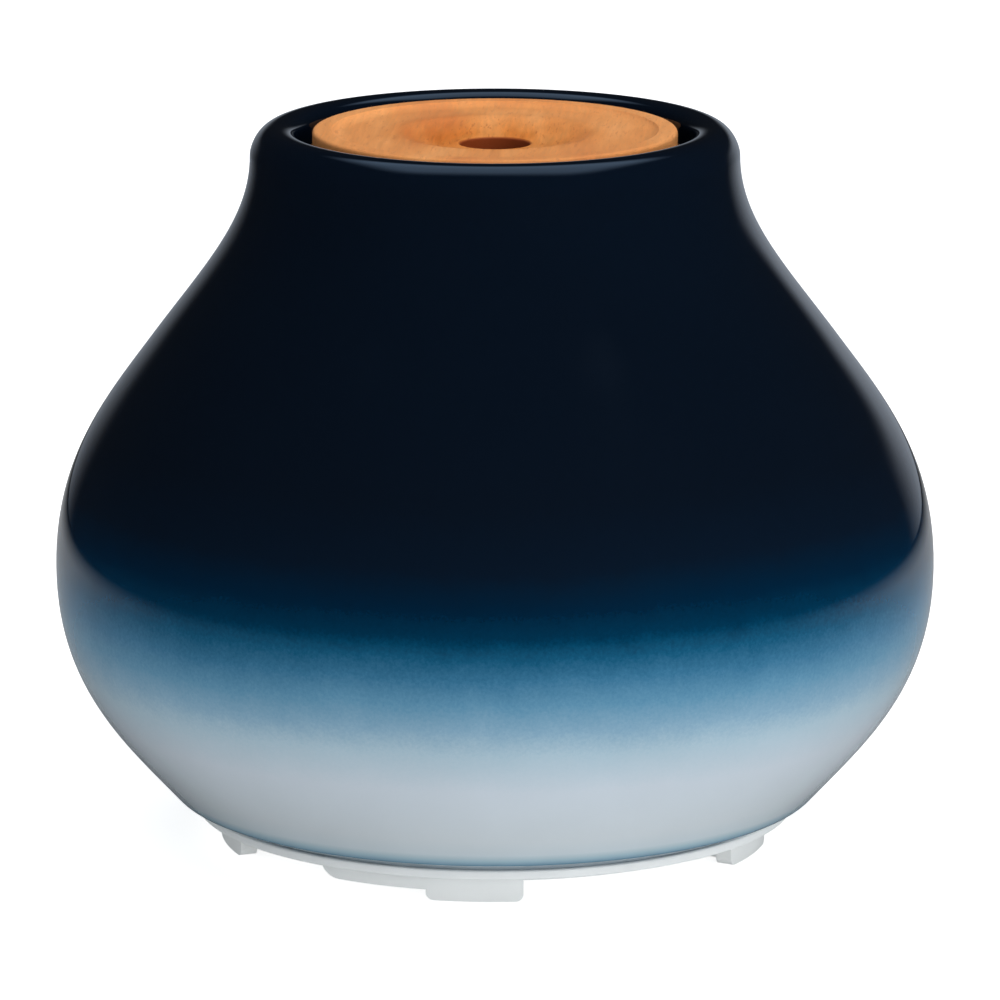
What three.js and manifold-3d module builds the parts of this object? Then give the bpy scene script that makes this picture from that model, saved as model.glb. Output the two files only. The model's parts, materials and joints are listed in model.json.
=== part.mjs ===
// Ultrasonic aroma diffuser: a white moulded base holding a water tank, an ultrasonic disc, a fan and their
// electronics, under a lift-off glazed cover whose neck carries a dished wooden lid with a mist hole.
// Millimetres, +Z up. The origin is on the surface the diffuser stands on, under the middle of the cover.
// The front is -Y. An azimuth is in degrees from the front, positive towards +X.

import * as THREE from "three";
import { mergeVertices } from "three/addons/utils/BufferGeometryUtils.js";
import Module from "manifold-3d";

const wasm = await Module();
wasm.setup();

// ---- Driving dimensions ----

const ROUND = 36; // sides of a large round outside
const INNER_ROUND = 28; // sides of a large round inside
const SMALL_ROUND = 12; // sides of a small round
const MID_ROUND = 24; // sides of the disc, the baffle, the bores and the loops round the air's way
const HOLE_ROUND = 8; // sides of a screw hole
const CURVE_STEPS = 4; // points along one curve of a profile
const GAP = 0.3; // play between neighbours

// Cover
const RIM_Z = 139.5;
const LIP_R = 42; // the lip's highest round
const NECK_R = 47;
const BELLY_R = 85;
const BELLY_Z = 54;
const SHOULDER = { r: 66.6, z: 97.5 };
const COVER_WALL = 4.2;
const COVER_FOOT_Z = 9.4;
const COVER_MOUTH_R = 56.4; // inside of the cover's foot
const RECESS_R = 38; // inside of the rolled lip
const LEDGE_Z = 128.4; // top of the ledge that carries the lid
const LEDGE_THICK = 4.2;
const LEDGE_R = 30;

// Lid
const LID_R = 35;
const LID_TOP_Z = 138.9;
const LID_THICK = 9.2;
const LID_UNDER_Z = LID_TOP_Z - LID_THICK;
const MIST_HOLE_R = 6.6;
const SPIGOT = { r: 29.2, bore: 8.4, plate: 1.8, wall: 2, low: 122.4 };
const LID_SCREWS = [0, 120, 240]; // azimuths
const LID_SCREW_AT = 20;

// Base
const FLANGE_R = 58.2;
const FLANGE_Z = 5.8;
const FLANGE_THICK = 1.9;
const FLANGE_TOP_Z = FLANGE_Z + FLANGE_THICK;
const SKIRT_R = 53;
const SKIRT_TOP_R = 51.2;
const SKIRT_TOP_Z = 82;
const SKIRT_WALL = 2;
const CUSHION = { inner: 55, outer: 57.2, depth: 0.5 }; // how deep it sits in the flange's groove

// Feet
const FEET = 5;
const FOOT_STEP = 360 / FEET;
const FOOT_SPAN = 20; // degrees of arc
const FOOT_R = 53.5;
const FOOT_WALL = 3.4;
const FOOT_LIFT = 0.3; // the rubber pads stand this far below the foot walls
const FOOT_BOSS = { at: 47.6, r: 4 };
const PAD = { r: 3.3, thick: 1.1 };
const SCREW_SEAT_Z = 3.4; // top of the well that holds the pad and the screw's head
const POST = { r: 3.4, top: 20 }; // the housing's posts, which the feet's screws bite into
const HOUSING_SCREW = { shank: 1.2, length: 13, head: 2.6, headThick: 1.6 };

// Bottom cover
const PLATE_Z = 4.5;
const PLATE_THICK = 2;
const PLATE_TOP_Z = PLATE_Z + PLATE_THICK;
const PLATE_R = 50.4;

// Fan and its pod under the base
const FAN_AZ = -13.5;
const FAN_AT = 28;
const FAN_SIDE = 25;
const FAN_THICK = 8;
const FAN_BORE_R = 11.6;
const POD = { half: 19, from: 8, corner: 8, z: 2.3, wall: 1.8 };
const FAN_Z = POD.z + POD.wall + GAP;
const FAN_TOP_Z = FAN_Z + FAN_THICK;
const FAN_CUP = { r: 4.2, top: 5.4 }; // the motor cup in the fan's frame
const FAN_HUB = { r: 5.6, wall: 1, low: 1.9, roof: 5.8, top: 7 };
const BLADES = { count: 7, thick: 0.9, chord: 5.2, pitch: 38, play: 0.7 };
const SLOT = { width: 1.7, step: 3.2, each: 3 }; // air slots: how many each side of the middle one

// Tank and the air duct in it
const TANK_TOP_Z = 85.4;
const TANK_FLOOR_Z = 36.4;
const TANK_UNDER_Z = 34;
const TANK_MOUTH_R = 46.6;
const DUCT_AT = 36.4;
const DUCT_R = 7.2;
const DUCT_WALL = 1.6;
const DUCT_TOP_Z = 79;
const DUCT_FOOT_Z = 30;
const WELL_R = 8; // hole in the tank's floor over the ultrasonic disc
const WELL_BOSS_R = 13;
const WELL_UNDER_Z = 32.2;
const EARS = [90, 270]; // azimuths of the two screws that hold the disc's clamp
const EAR_AT = 16;

// Ultrasonic disc, the silicone ring round its edge and the plate that clamps both up against the well
const DISC = { r: 9.8, low: 30.5, high: 31.3 };
const SEAL = { inner: 8.2, groove: 10.2, outer: 12, low: 29.7, high: 32, grooveLow: 30.3, grooveHigh: 31.5 };
const CLAMP = { bore: 6, r: 14, low: 27.8, high: 29.4 };

// Mist hood
const HOOD_FOOT_Z = TANK_TOP_Z + 0.2;
const HOOD_WALL = 1.8;
const CHIMNEY_R = 10.5;
const CHIMNEY_TOP_Z = 125.6;
const DOME_TOP_Z = 108;
const HOOD_SKIRT_Z = 80.6; // foot of the skirt inside the tank's mouth
const BAFFLE = { r: 15.4, low: 92, thick: 1.4, legAt: 14, legR: 1.5, collarZ: 101.4, collarThick: 1.5 };

// Electronics
const BOARD_Z = 15.4;
const BOARD_THICK = 1.6;
const BOARD_TOP_Z = BOARD_Z + BOARD_THICK;
const JACK = { half: 4.5, from: 6, face: 20.2, low: 7, high: 15.2, axis: 11 };
const CHANNEL = { half: 6.7, wall: 1.4, roof: 15.4, from: 20 };
const LED_RING = { inner: 19, outer: 27, low: 30.6, thick: 1, lamps: 6 };

// Controls: two lobes of the flange, left and right of the cord's way out, each with a round button
const LOBE = { inner: 7.5, outer: 23, from: 54.6, to: 81, low: 1.6, wall: 1.4, corner: 4 };
const LOBE_MIDDLE = (LOBE.inner + LOBE.outer) / 2;
const BUTTON = { at: 73, r: 4.1, top: 8.7 };

// ---- Materials ----

const paint = (color, roughness, metalness = 0) =>
  new THREE.MeshStandardMaterial({ color, roughness, metalness });

const materials = {
  glaze: paint(0x14304a, 0.08),
  wood: paint(0xdb9150, 0.55),
  whitePlastic: paint(0xdfe3e2, 0.4),
  clearPlastic: paint(0xe9eef0, 0.3),
  silicone: paint(0x8d979c, 0.6),
  rubber: paint(0x5a5d60, 0.8),
  steel: paint(0xb9bcc0, 0.3, 1),
  brass: paint(0xc9a75a, 0.3, 1),
  aluminium: paint(0xa9adb2, 0.4, 1),
  boardGreen: paint(0x1f6b3c, 0.5),
  blackPlastic: paint(0x1b1c1e, 0.5),
  copper: paint(0xb5693a, 0.35, 1),
  whiteLamp: paint(0xf3efdc, 0.2),
};

// ---- Making and joining solids ----

function solid(geometry) {
  const source = geometry.index ? geometry.toNonIndexed() : geometry;
  const bare = new THREE.BufferGeometry();
  bare.setAttribute("position", source.getAttribute("position"));
  const merged = mergeVertices(bare, 1e-4);
  return new wasm.Manifold(
    new wasm.Mesh({
      numProp: 3,
      vertProperties: new Float32Array(merged.attributes.position.array),
      triVerts: new Uint32Array(merged.index.array),
    }),
  );
}

function geometryOf(shape) {
  const mesh = shape.getMesh();
  const geometry = new THREE.BufferGeometry();
  const points = new Float32Array(mesh.numVert * 3);
  for (let i = 0; i < mesh.numVert; i++) {
    const from = i * mesh.numProp;
    points.set(mesh.vertProperties.subarray(from, from + 3), i * 3);
  }
  geometry.setAttribute("position", new THREE.BufferAttribute(points, 3));
  geometry.setIndex(new THREE.BufferAttribute(mesh.triVerts, 1));
  geometry.computeVertexNormals();
  return geometry;
}

const joined = (first, ...others) => others.reduce((sum, other) => sum.add(other), first);
const cut = (first, ...others) => others.reduce((rest, other) => rest.subtract(other), first);

// ---- Basic shapes ----

const radians = THREE.MathUtils.degToRad;

// The point at a radius and an azimuth.
function around(azimuth, radius) {
  return [radius * Math.sin(radians(azimuth)), -radius * Math.cos(radians(azimuth))];
}

// A solid of revolution about Z, from a closed outline of [radius, height] points or a path.
function turned(outline, sides = ROUND, steps = CURVE_STEPS) {
  const points = Array.isArray(outline)
    ? outline.map(([r, z]) => new THREE.Vector2(r, z))
    : outline.getPoints(steps);
  const rising = THREE.ShapeUtils.area(points) > 0 ? points : points.reverse();
  const open = rising[0].distanceTo(rising[rising.length - 1]) > 1e-6;
  if (open) rising.push(rising[0].clone());
  return solid(new THREE.LatheGeometry(rising, sides).rotateX(Math.PI / 2));
}

const ring = (inner, outer, low, high, sides = INNER_ROUND) =>
  turned([[inner, low], [outer, low], [outer, high], [inner, high]], sides);

function cylinder(radius, low, high, [x, y] = [0, 0], sides = SMALL_ROUND) {
  const geometry = new THREE.CylinderGeometry(radius, radius, high - low, sides);
  return solid(geometry.rotateX(Math.PI / 2).translate(x, y, (low + high) / 2));
}

function block([x0, x1], [y0, y1], [z0, z1]) {
  const geometry = new THREE.BoxGeometry(x1 - x0, y1 - y0, z1 - z0);
  return solid(geometry.translate((x0 + x1) / 2, (y0 + y1) / 2, (z0 + z1) / 2));
}

// An outline in the XY plane, raised from one height to another.
function raised(shape, low, high, curveSegments = 4) {
  const options = { depth: high - low, bevelEnabled: false, curveSegments };
  return solid(new THREE.ExtrudeGeometry(shape, options).translate(0, 0, low));
}

function roundedRectangle([x0, x1], [y0, y1], corner) {
  const shape = new THREE.Shape();
  shape.absarc(x1 - corner, y1 - corner, corner, 0, Math.PI / 2);
  shape.absarc(x0 + corner, y1 - corner, corner, Math.PI / 2, Math.PI);
  shape.absarc(x0 + corner, y0 + corner, corner, Math.PI, 1.5 * Math.PI);
  shape.absarc(x1 - corner, y0 + corner, corner, 1.5 * Math.PI, 2 * Math.PI);
  return shape;
}

// A stretch of a ring, centred on the front.
function arcBlock(inner, outer, span, low, high) {
  const from = radians(-90 - span / 2);
  const to = radians(-90 + span / 2);
  const shape = new THREE.Shape();
  shape.absarc(0, 0, outer, from, to, false);
  shape.absarc(0, 0, inner, to, from, true);
  return raised(shape, low, high);
}

const turnedTo = (shape, azimuth) => shape.rotate([0, 0, azimuth]);

// The same shape at each foot.
const atEachFoot = (shape) =>
  Array.from({ length: FEET }, (_, i) => turnedTo(shape, i * FOOT_STEP));

// ---- Cover and lid ----

// The outer curve falls from the lip through the neck, shoulder and belly to the foot, and the inner one
// climbs back.
function glazedCover() {
  const wallR = BELLY_R - COVER_WALL;
  const underLedge = LEDGE_Z - LEDGE_THICK;
  const neckIn = NECK_R - COVER_WALL;
  const path = new THREE.Path();
  path.moveTo(LIP_R, RIM_Z);
  path.bezierCurveTo(45.5, RIM_Z, NECK_R, 135.5, NECK_R, 134);
  path.bezierCurveTo(NECK_R, 121, 56.5, 111.2, SHOULDER.r, SHOULDER.z);
  path.bezierCurveTo(76, 84.8, BELLY_R, 74, BELLY_R, BELLY_Z);
  path.bezierCurveTo(BELLY_R, 32.3, 74, 22.5, 63.2, 10.5);
  path.quadraticCurveTo(62.2, COVER_FOOT_Z, 61, COVER_FOOT_Z);
  path.lineTo(COVER_MOUTH_R, COVER_FOOT_Z);
  path.lineTo(COVER_MOUTH_R, 10.8);
  path.lineTo(60, 13.4);
  path.bezierCurveTo(70.6, 25, wallR, 34.5, wallR, BELLY_Z);
  path.bezierCurveTo(wallR, 72.5, 72.4, 82.6, 63.2, 95);
  path.bezierCurveTo(53, 108.8, neckIn, 116, neckIn, 121.4);
  path.quadraticCurveTo(neckIn, underLedge, 40, underLedge);
  path.lineTo(LEDGE_R, underLedge);
  path.lineTo(LEDGE_R, LEDGE_Z);
  path.lineTo(RECESS_R - 0.8, LEDGE_Z);
  path.lineTo(RECESS_R, LEDGE_Z + 0.8);
  path.lineTo(RECESS_R, 136.4);
  path.bezierCurveTo(RECESS_R, 138.5, 39.2, RIM_Z, LIP_R, RIM_Z);
  return turned(path);
}

// A raised bead round the edge, a shallow ring inside it, and a bowl that falls to the mist hole.
function woodenLid() {
  const path = new THREE.Path();
  path.moveTo(LID_R - 0.8, LID_UNDER_Z);
  path.lineTo(LID_R, LID_UNDER_Z + 0.8);
  path.lineTo(LID_R, LID_TOP_Z - 0.9);
  path.quadraticCurveTo(LID_R, LID_TOP_Z, LID_R - 1, LID_TOP_Z);
  path.lineTo(31.4, LID_TOP_Z);
  path.quadraticCurveTo(30.6, LID_TOP_Z - 0.9, 28.6, LID_TOP_Z - 1);
  path.lineTo(19.6, LID_TOP_Z - 0.7);
  path.quadraticCurveTo(18.6, LID_TOP_Z - 0.7, 17.4, LID_TOP_Z - 1.1);
  path.quadraticCurveTo(12.5, LID_TOP_Z - 2.5, MIST_HOLE_R + 0.4, LID_TOP_Z - 2.8);
  path.lineTo(MIST_HOLE_R, LID_TOP_Z - 3.1);
  path.lineTo(MIST_HOLE_R, LID_UNDER_Z);
  const pilots = LID_SCREWS.map((azimuth) =>
    cylinder(1.1, LID_UNDER_Z - 1, LID_UNDER_Z + 5.2, around(azimuth, LID_SCREW_AT), HOLE_ROUND),
  );
  return cut(turned(path, ROUND, 2), ...pilots);
}

// The plastic ring screwed under the lid, which centres it in the cover's ledge.
function lidSpigot() {
  const top = LID_UNDER_Z - GAP;
  const body = turned([
    [SPIGOT.bore, top],
    [SPIGOT.bore, top - SPIGOT.plate],
    [SPIGOT.r - SPIGOT.wall, top - SPIGOT.plate],
    [SPIGOT.r - SPIGOT.wall, SPIGOT.low],
    [SPIGOT.r - 0.8, SPIGOT.low],
    [SPIGOT.r, SPIGOT.low + 1.2],
    [SPIGOT.r, top],
  ], INNER_ROUND);
  const holes = LID_SCREWS.map((azimuth) =>
    cylinder(1.5, top - 4, top + 1, around(azimuth, LID_SCREW_AT), HOLE_ROUND),
  );
  return cut(body, ...holes);
}

// A round-headed screw pointing up, with its head's underside at the origin.
function screw(shankR, length, headR, headThick) {
  const outline = [
    [0, -headThick],
    [headR, -headThick * 0.6],
    [headR, 0],
    [shankR, 0],
    [shankR, length - shankR],
    [0, length],
  ];
  const slotDepth = headThick * 0.55;
  const slot = block([-headR * 0.7, headR * 0.7], [-0.3, 0.3], [-headThick - 1, slotDepth - headThick]);
  return cut(turned(outline, HOLE_ROUND), slot);
}

// ---- Base ----

// One control lobe's outline, on the +X side.
const lobeOutline = (inset) =>
  roundedRectangle(
    [LOBE.inner + inset, LOBE.outer - inset],
    [LOBE.from + inset, LOBE.to - inset],
    LOBE.corner - inset,
  );

const mirrored = (shape) => shape.mirror([1, 0, 0]);

function baseHousing() {
  const edge = 0.6;
  const grooveFloor = FLANGE_TOP_Z - CUSHION.depth;
  const groove = ring(CUSHION.inner - 0.2, CUSHION.outer + 0.2, grooveFloor, FLANGE_TOP_Z + 1, ROUND);
  const shell = turned([
    [SKIRT_R - SKIRT_WALL - 0.2, FLANGE_Z],
    [FLANGE_R - edge, FLANGE_Z],
    [FLANGE_R, FLANGE_Z + edge],
    [FLANGE_R, FLANGE_TOP_Z - edge],
    [FLANGE_R - edge, FLANGE_TOP_Z],
    [SKIRT_R, FLANGE_TOP_Z],
    [SKIRT_TOP_R, SKIRT_TOP_Z],
    [SKIRT_TOP_R - SKIRT_WALL, SKIRT_TOP_Z],
  ]);
  const post = cylinder(POST.r, PLATE_TOP_Z + 0.2, POST.top, [0, -FOOT_BOSS.at], HOLE_ROUND);
  const pilot = cylinder(1.4, PLATE_TOP_Z - 1, POST.top - 2, [0, -FOOT_BOSS.at], HOLE_ROUND);
  const lobe = joined(
    raised(lobeOutline(0), LOBE.low, FLANGE_TOP_Z),
    block([LOBE.inner, LOBE.outer], [51.5, LOBE.from + LOBE.corner], [FLANGE_Z, FLANGE_TOP_Z]),
  );
  const hollow = raised(lobeOutline(LOBE.wall), LOBE.low - 1, FLANGE_TOP_Z - LOBE.wall);
  const way = cylinder(BUTTON.r + 0.2, FLANGE_Z, FLANGE_TOP_Z + 1, [LOBE_MIDDLE, BUTTON.at], 20);
  const right = cut(lobe, hollow, way);
  const body = joined(shell, ...atEachFoot(post), right, mirrored(right));
  return cut(body, groove, ...atEachFoot(pilot));
}

// The outline of the fan's pod under the base, in the fan's own direction, before the base's edge trims it.
const podOutline = (inset) =>
  roundedRectangle([-POD.half + inset, POD.half - inset], [-62, -POD.from - inset], POD.corner - inset);

function bottomCover() {
  const plate = turned([
    [0, PLATE_Z],
    [FOOT_R, PLATE_Z],
    [FOOT_R, FLANGE_Z - 0.2],
    [PLATE_R, FLANGE_Z - 0.2],
    [PLATE_R, PLATE_TOP_Z],
    [0, PLATE_TOP_Z],
  ]);
  const footTop = FLANGE_Z - 0.2;
  const foot = joined(
    arcBlock(FOOT_R - FOOT_WALL, FOOT_R, FOOT_SPAN, FOOT_LIFT, footTop),
    cylinder(FOOT_BOSS.r, FOOT_LIFT, footTop, [0, -FOOT_BOSS.at]),
  );
  const screwWay = joined(
    cylinder(1.6, -1, PLATE_TOP_Z + 1, [0, -FOOT_BOSS.at], HOLE_ROUND),
    cylinder(PAD.r + 0.1, -1, SCREW_SEAT_Z, [0, -FOOT_BOSS.at]),
  );
  const edge = cylinder(FOOT_R, POD.z - 1, PLATE_Z + 1, [0, 0], ROUND);
  const pod = turnedTo(raised(podOutline(0), POD.z, PLATE_Z), FAN_AZ).intersect(edge);
  const podRoomEdge = cylinder(FOOT_R - POD.wall, POD.z, PLATE_TOP_Z + 1, [0, 0], ROUND);
  const podRoom = cut(
    turnedTo(raised(podOutline(POD.wall), POD.z + POD.wall, PLATE_TOP_Z + 1), FAN_AZ).intersect(podRoomEdge),
    cylinder(FOOT_BOSS.r + 0.6, 0, PLATE_TOP_Z + 2, [0, -FOOT_BOSS.at]),
  );
  const channelShell = block(
    [-CHANNEL.half - CHANNEL.wall, CHANNEL.half + CHANNEL.wall],
    [CHANNEL.from - CHANNEL.wall, PLATE_R - 1.4],
    [PLATE_Z, CHANNEL.roof + CHANNEL.wall],
  );
  const channelRoom = joined(
    block([-CHANNEL.half, CHANNEL.half], [CHANNEL.from, FOOT_R + 5], [0, CHANNEL.roof]),
    block([-JACK.half - GAP, JACK.half + GAP], [0, CHANNEL.from + 1], [PLATE_TOP_Z, JACK.high + GAP]),
  );
  const standoffs = BOARD_FIXINGS.map((at) => cylinder(2.6, PLATE_Z, BOARD_Z - 0.1, at, HOLE_ROUND));
  const standoffPilots = BOARD_FIXINGS.map((at) => cylinder(1, 8, BOARD_Z + 1, at, HOLE_ROUND));
  const body = joined(plate, ...atEachFoot(foot), pod, channelShell, ...standoffs);
  return cut(body, podRoom, channelRoom, ...atEachFoot(screwWay), ...standoffPilots, ...airSlots());
}

// Parallel slots through the pod's floor under the fan, as long as the fan's bore is wide there.
function airSlots() {
  const slots = [];
  for (let place = -SLOT.each; place <= SLOT.each; place++) {
    const across = place * SLOT.step;
    const half = Math.sqrt(FAN_BORE_R ** 2 - across ** 2) - 0.5;
    const slot = block(
      [across - SLOT.width / 2, across + SLOT.width / 2],
      [-FAN_AT - half, -FAN_AT + half],
      [POD.z - 1, POD.z + POD.wall + 1],
    );
    slots.push(turnedTo(slot, FAN_AZ));
  }
  return slots;
}

// ---- Tank, ultrasonic disc and hood ----

function waterTank() {
  const path = new THREE.Path();
  path.moveTo(WELL_R, WELL_UNDER_Z);
  path.lineTo(WELL_BOSS_R, WELL_UNDER_Z);
  path.lineTo(WELL_BOSS_R, TANK_UNDER_Z);
  path.lineTo(36, TANK_UNDER_Z);
  path.quadraticCurveTo(46.4, TANK_UNDER_Z, 47, 45);
  path.lineTo(48.6, TANK_TOP_Z - 3.2);
  path.lineTo(SKIRT_TOP_R, TANK_TOP_Z - 3.2);
  path.lineTo(SKIRT_TOP_R, TANK_TOP_Z);
  path.lineTo(TANK_MOUTH_R, TANK_TOP_Z);
  path.lineTo(45, 46);
  path.quadraticCurveTo(44.5, TANK_FLOOR_Z, 35, TANK_FLOOR_Z);
  path.lineTo(WELL_R + 3, TANK_FLOOR_Z - 1);
  path.lineTo(WELL_R, TANK_FLOOR_Z - 2);
  const ductAt = around(FAN_AZ, DUCT_AT);
  const duct = cylinder(DUCT_R, DUCT_FOOT_Z, DUCT_TOP_Z, ductAt, SMALL_ROUND);
  const bore = cylinder(DUCT_R - DUCT_WALL, DUCT_FOOT_Z - 1, DUCT_TOP_Z + 1, ductAt, SMALL_ROUND);
  const inFloor = TANK_UNDER_Z + 1;
  const ears = EARS.map((azimuth) => cylinder(2.8, 30.2, inFloor, around(azimuth, EAR_AT), 10));
  const earPilots = EARS.map((azimuth) => cylinder(1, 28, 33.6, around(azimuth, EAR_AT), HOLE_ROUND));
  const ledPostLow = LED_RING.low + LED_RING.thick + 0.2;
  const ledPosts = [30, 150, 270].map((azimuth) => cylinder(1.4, ledPostLow, inFloor, around(azimuth, 23), 8));
  return cut(joined(turned(path, INNER_ROUND), duct, ...ears, ...ledPosts), bore, ...earPilots);
}

// A silicone ring with a groove inside it that grips the disc's edge.
const discSeal = () =>
  turned([
    [SEAL.inner, SEAL.low],
    [SEAL.outer, SEAL.low],
    [SEAL.outer, SEAL.high],
    [SEAL.inner, SEAL.high],
    [SEAL.inner, SEAL.grooveHigh],
    [SEAL.groove, SEAL.grooveHigh],
    [SEAL.groove, SEAL.grooveLow],
    [SEAL.inner, SEAL.grooveLow],
  ], MID_ROUND);

function discClamp() {
  const ears = EARS.map((azimuth) => cylinder(3.2, CLAMP.low, CLAMP.high, around(azimuth, EAR_AT)));
  const holes = EARS.map((azimuth) =>
    cylinder(1.3, CLAMP.low - 1, CLAMP.high + 1, around(azimuth, EAR_AT), HOLE_ROUND),
  );
  const body = joined(cylinder(CLAMP.r, CLAMP.low, CLAMP.high, [0, 0], MID_ROUND), ...ears);
  return cut(body, cylinder(CLAMP.bore, CLAMP.low - 1, CLAMP.high + 1), ...holes);
}

// A shallow dome rising to a chimney, with a skirt that drops into the tank's mouth.
function mistHood() {
  const inset = HOOD_WALL;
  const path = new THREE.Path();
  path.moveTo(CHIMNEY_R, CHIMNEY_TOP_Z);
  path.lineTo(CHIMNEY_R, DOME_TOP_Z + 3);
  path.quadraticCurveTo(CHIMNEY_R, DOME_TOP_Z, 14, DOME_TOP_Z - 1.4);
  path.bezierCurveTo(33, 102.5, 47.5, 99, 49, 89.4);
  path.lineTo(SKIRT_TOP_R - 0.2, 87.6);
  path.lineTo(SKIRT_TOP_R - 0.2, HOOD_FOOT_Z);
  path.lineTo(TANK_MOUTH_R - 0.5, HOOD_FOOT_Z);
  path.lineTo(TANK_MOUTH_R - 0.9, HOOD_SKIRT_Z);
  path.lineTo(TANK_MOUTH_R - 0.9 - inset, HOOD_SKIRT_Z);
  path.lineTo(TANK_MOUTH_R - 0.5 - inset, HOOD_FOOT_Z + 2);
  path.bezierCurveTo(44, 97.4, 31.6, 100.6, 13.4, DOME_TOP_Z - 3.4);
  path.quadraticCurveTo(CHIMNEY_R - inset, DOME_TOP_Z - 2, CHIMNEY_R - inset, DOME_TOP_Z + 3);
  path.lineTo(CHIMNEY_R - inset, CHIMNEY_TOP_Z);
  return turned(path, INNER_ROUND, 3);
}

// A disc that hangs under the chimney on three legs and stops splashes.
function splashBaffle() {
  const collarTop = BAFFLE.collarZ + BAFFLE.collarThick;
  const legs = [60, 180, 300].map((azimuth) =>
    cylinder(BAFFLE.legR, BAFFLE.low + 1, collarTop - 0.3, around(azimuth, BAFFLE.legAt), 8),
  );
  const collar = ring(12.4, 15.6, BAFFLE.collarZ, collarTop, MID_ROUND);
  return joined(cylinder(BAFFLE.r, BAFFLE.low, BAFFLE.low + BAFFLE.thick, [0, 0], MID_ROUND), ...legs, collar);
}

// ---- Fan and air shroud ----

// Square frame with a round bore, and a motor cup held by three struts at the bottom.
function fanFrame() {
  const half = FAN_SIDE / 2;
  const body = raised(roundedRectangle([-half, half], [-half, half], 2), 0, FAN_THICK, 3);
  const bore = cylinder(FAN_BORE_R, -1, FAN_THICK + 1, [0, 0], MID_ROUND);
  const struts = [0, 120, 240].map((azimuth) =>
    turnedTo(block([-0.8, 0.8], [-FAN_BORE_R - 0.5, -3], [0, 1.2]), azimuth),
  );
  const holes = fanCorners().map((at) => cylinder(1.2, -1, FAN_THICK + 1, at, HOLE_ROUND));
  return cut(joined(cut(body, bore), ...struts, cylinder(FAN_CUP.r, 0, FAN_CUP.top)), ...holes);
}

const fanCorners = () =>
  [[-1, -1], [1, -1], [1, 1], [-1, 1]].map(([x, y]) => [x * 10.3, y * 10.3]);

// Hub cap over the motor cup, with pitched blades.
function fanRotor() {
  const hub = turned([
    [0, FAN_HUB.roof],
    [FAN_HUB.r - FAN_HUB.wall, FAN_HUB.roof],
    [FAN_HUB.r - FAN_HUB.wall, FAN_HUB.low],
    [FAN_HUB.r, FAN_HUB.low],
    [FAN_HUB.r, FAN_HUB.top],
    [0, FAN_HUB.top],
  ], SMALL_ROUND);
  const middle = (FAN_HUB.low + FAN_HUB.top) / 2;
  const [thick, chord] = [BLADES.thick / 2, BLADES.chord / 2];
  const blade = block([-thick, thick], [-FAN_BORE_R + BLADES.play, 0.4 - FAN_HUB.r], [-chord, chord])
    .rotate([0, BLADES.pitch, 0])
    .translate([0, 0, middle]);
  const blades = Array.from({ length: BLADES.count }, (_, i) => turnedTo(blade, (i * 360) / BLADES.count));
  return joined(hub, ...blades);
}

// A closed tube wall between a lower and an upper loop of the same number of points.
function loft(lower, upper, low, high) {
  const count = lower.length;
  const points = [...lower.map(([x, y]) => [x, y, low]), ...upper.map(([x, y]) => [x, y, high])];
  points.push([...middleOf(lower), low], [...middleOf(upper), high]);
  const faces = [];
  for (let i = 0; i < count; i++) {
    const next = (i + 1) % count;
    faces.push(i, next, count + next, i, count + next, count + i);
    faces.push(2 * count, next, i, 2 * count + 1, count + i, count + next);
  }
  const geometry = new THREE.BufferGeometry();
  geometry.setAttribute("position", new THREE.Float32BufferAttribute(points.flat(), 3));
  geometry.setIndex(faces);
  return solid(geometry);
}

const middleOf = (loop) => [0, 1].map((axis) => loop.reduce((sum, p) => sum + p[axis], 0) / loop.length);

// A loop between a circle and a square of the given half width, by how square it is.
function squareLoop(half, squareness, [x, y], turn) {
  return Array.from({ length: MID_ROUND }, (_, i) => {
    const angle = (i / MID_ROUND) * 2 * Math.PI;
    const [c, s] = [Math.cos(angle), Math.sin(angle)];
    const square = half / Math.max(Math.abs(c), Math.abs(s));
    const reach = THREE.MathUtils.lerp(half, square, squareness);
    const facing = angle + radians(turn);
    return [x + reach * Math.cos(facing), y + reach * Math.sin(facing)];
  });
}

// Funnels the fan's air up into the tank's duct.
function airShroud() {
  const wall = 1.4;
  const low = FAN_TOP_Z + 0.2;
  const fanAt = around(FAN_AZ, FAN_AT);
  const ductAt = around(FAN_AZ, DUCT_AT);
  const knee = low + 3;
  const top = DUCT_FOOT_Z - 0.2;
  const half = FAN_SIDE / 2;
  const level = (inset, z0, z1) => loft(
    squareLoop(half - inset, 0.9, fanAt, FAN_AZ), squareLoop(half - inset, 0.9, fanAt, FAN_AZ), z0, z1);
  const cone = (inset, z0, z1) => loft(
    squareLoop(half - inset, 0.9, fanAt, FAN_AZ), squareLoop(DUCT_R - inset, 0, ductAt, FAN_AZ), z0, z1);
  const outer = joined(level(0, low, knee), cone(0, knee, top));
  const inner = joined(level(wall, low - 1, knee), cone(wall, knee, top));
  const mouth = cylinder(DUCT_R - wall, top - 0.5, top + 1, ductAt, MID_ROUND);
  return cut(outer, inner, mouth);
}

// ---- Electronics ----

const BOARD_FIXINGS = [[-26, -6], [26, -6], [26, 15], [-26, 15]];

function mainBoard() {
  const body = raised(roundedRectangle([-30, 30], [-10, 18], 2), BOARD_Z, BOARD_TOP_Z, 3);
  return cut(body, ...BOARD_FIXINGS.map((at) => cylinder(1.3, BOARD_Z - 1, BOARD_TOP_Z + 1, at, HOLE_ROUND)));
}

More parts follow.
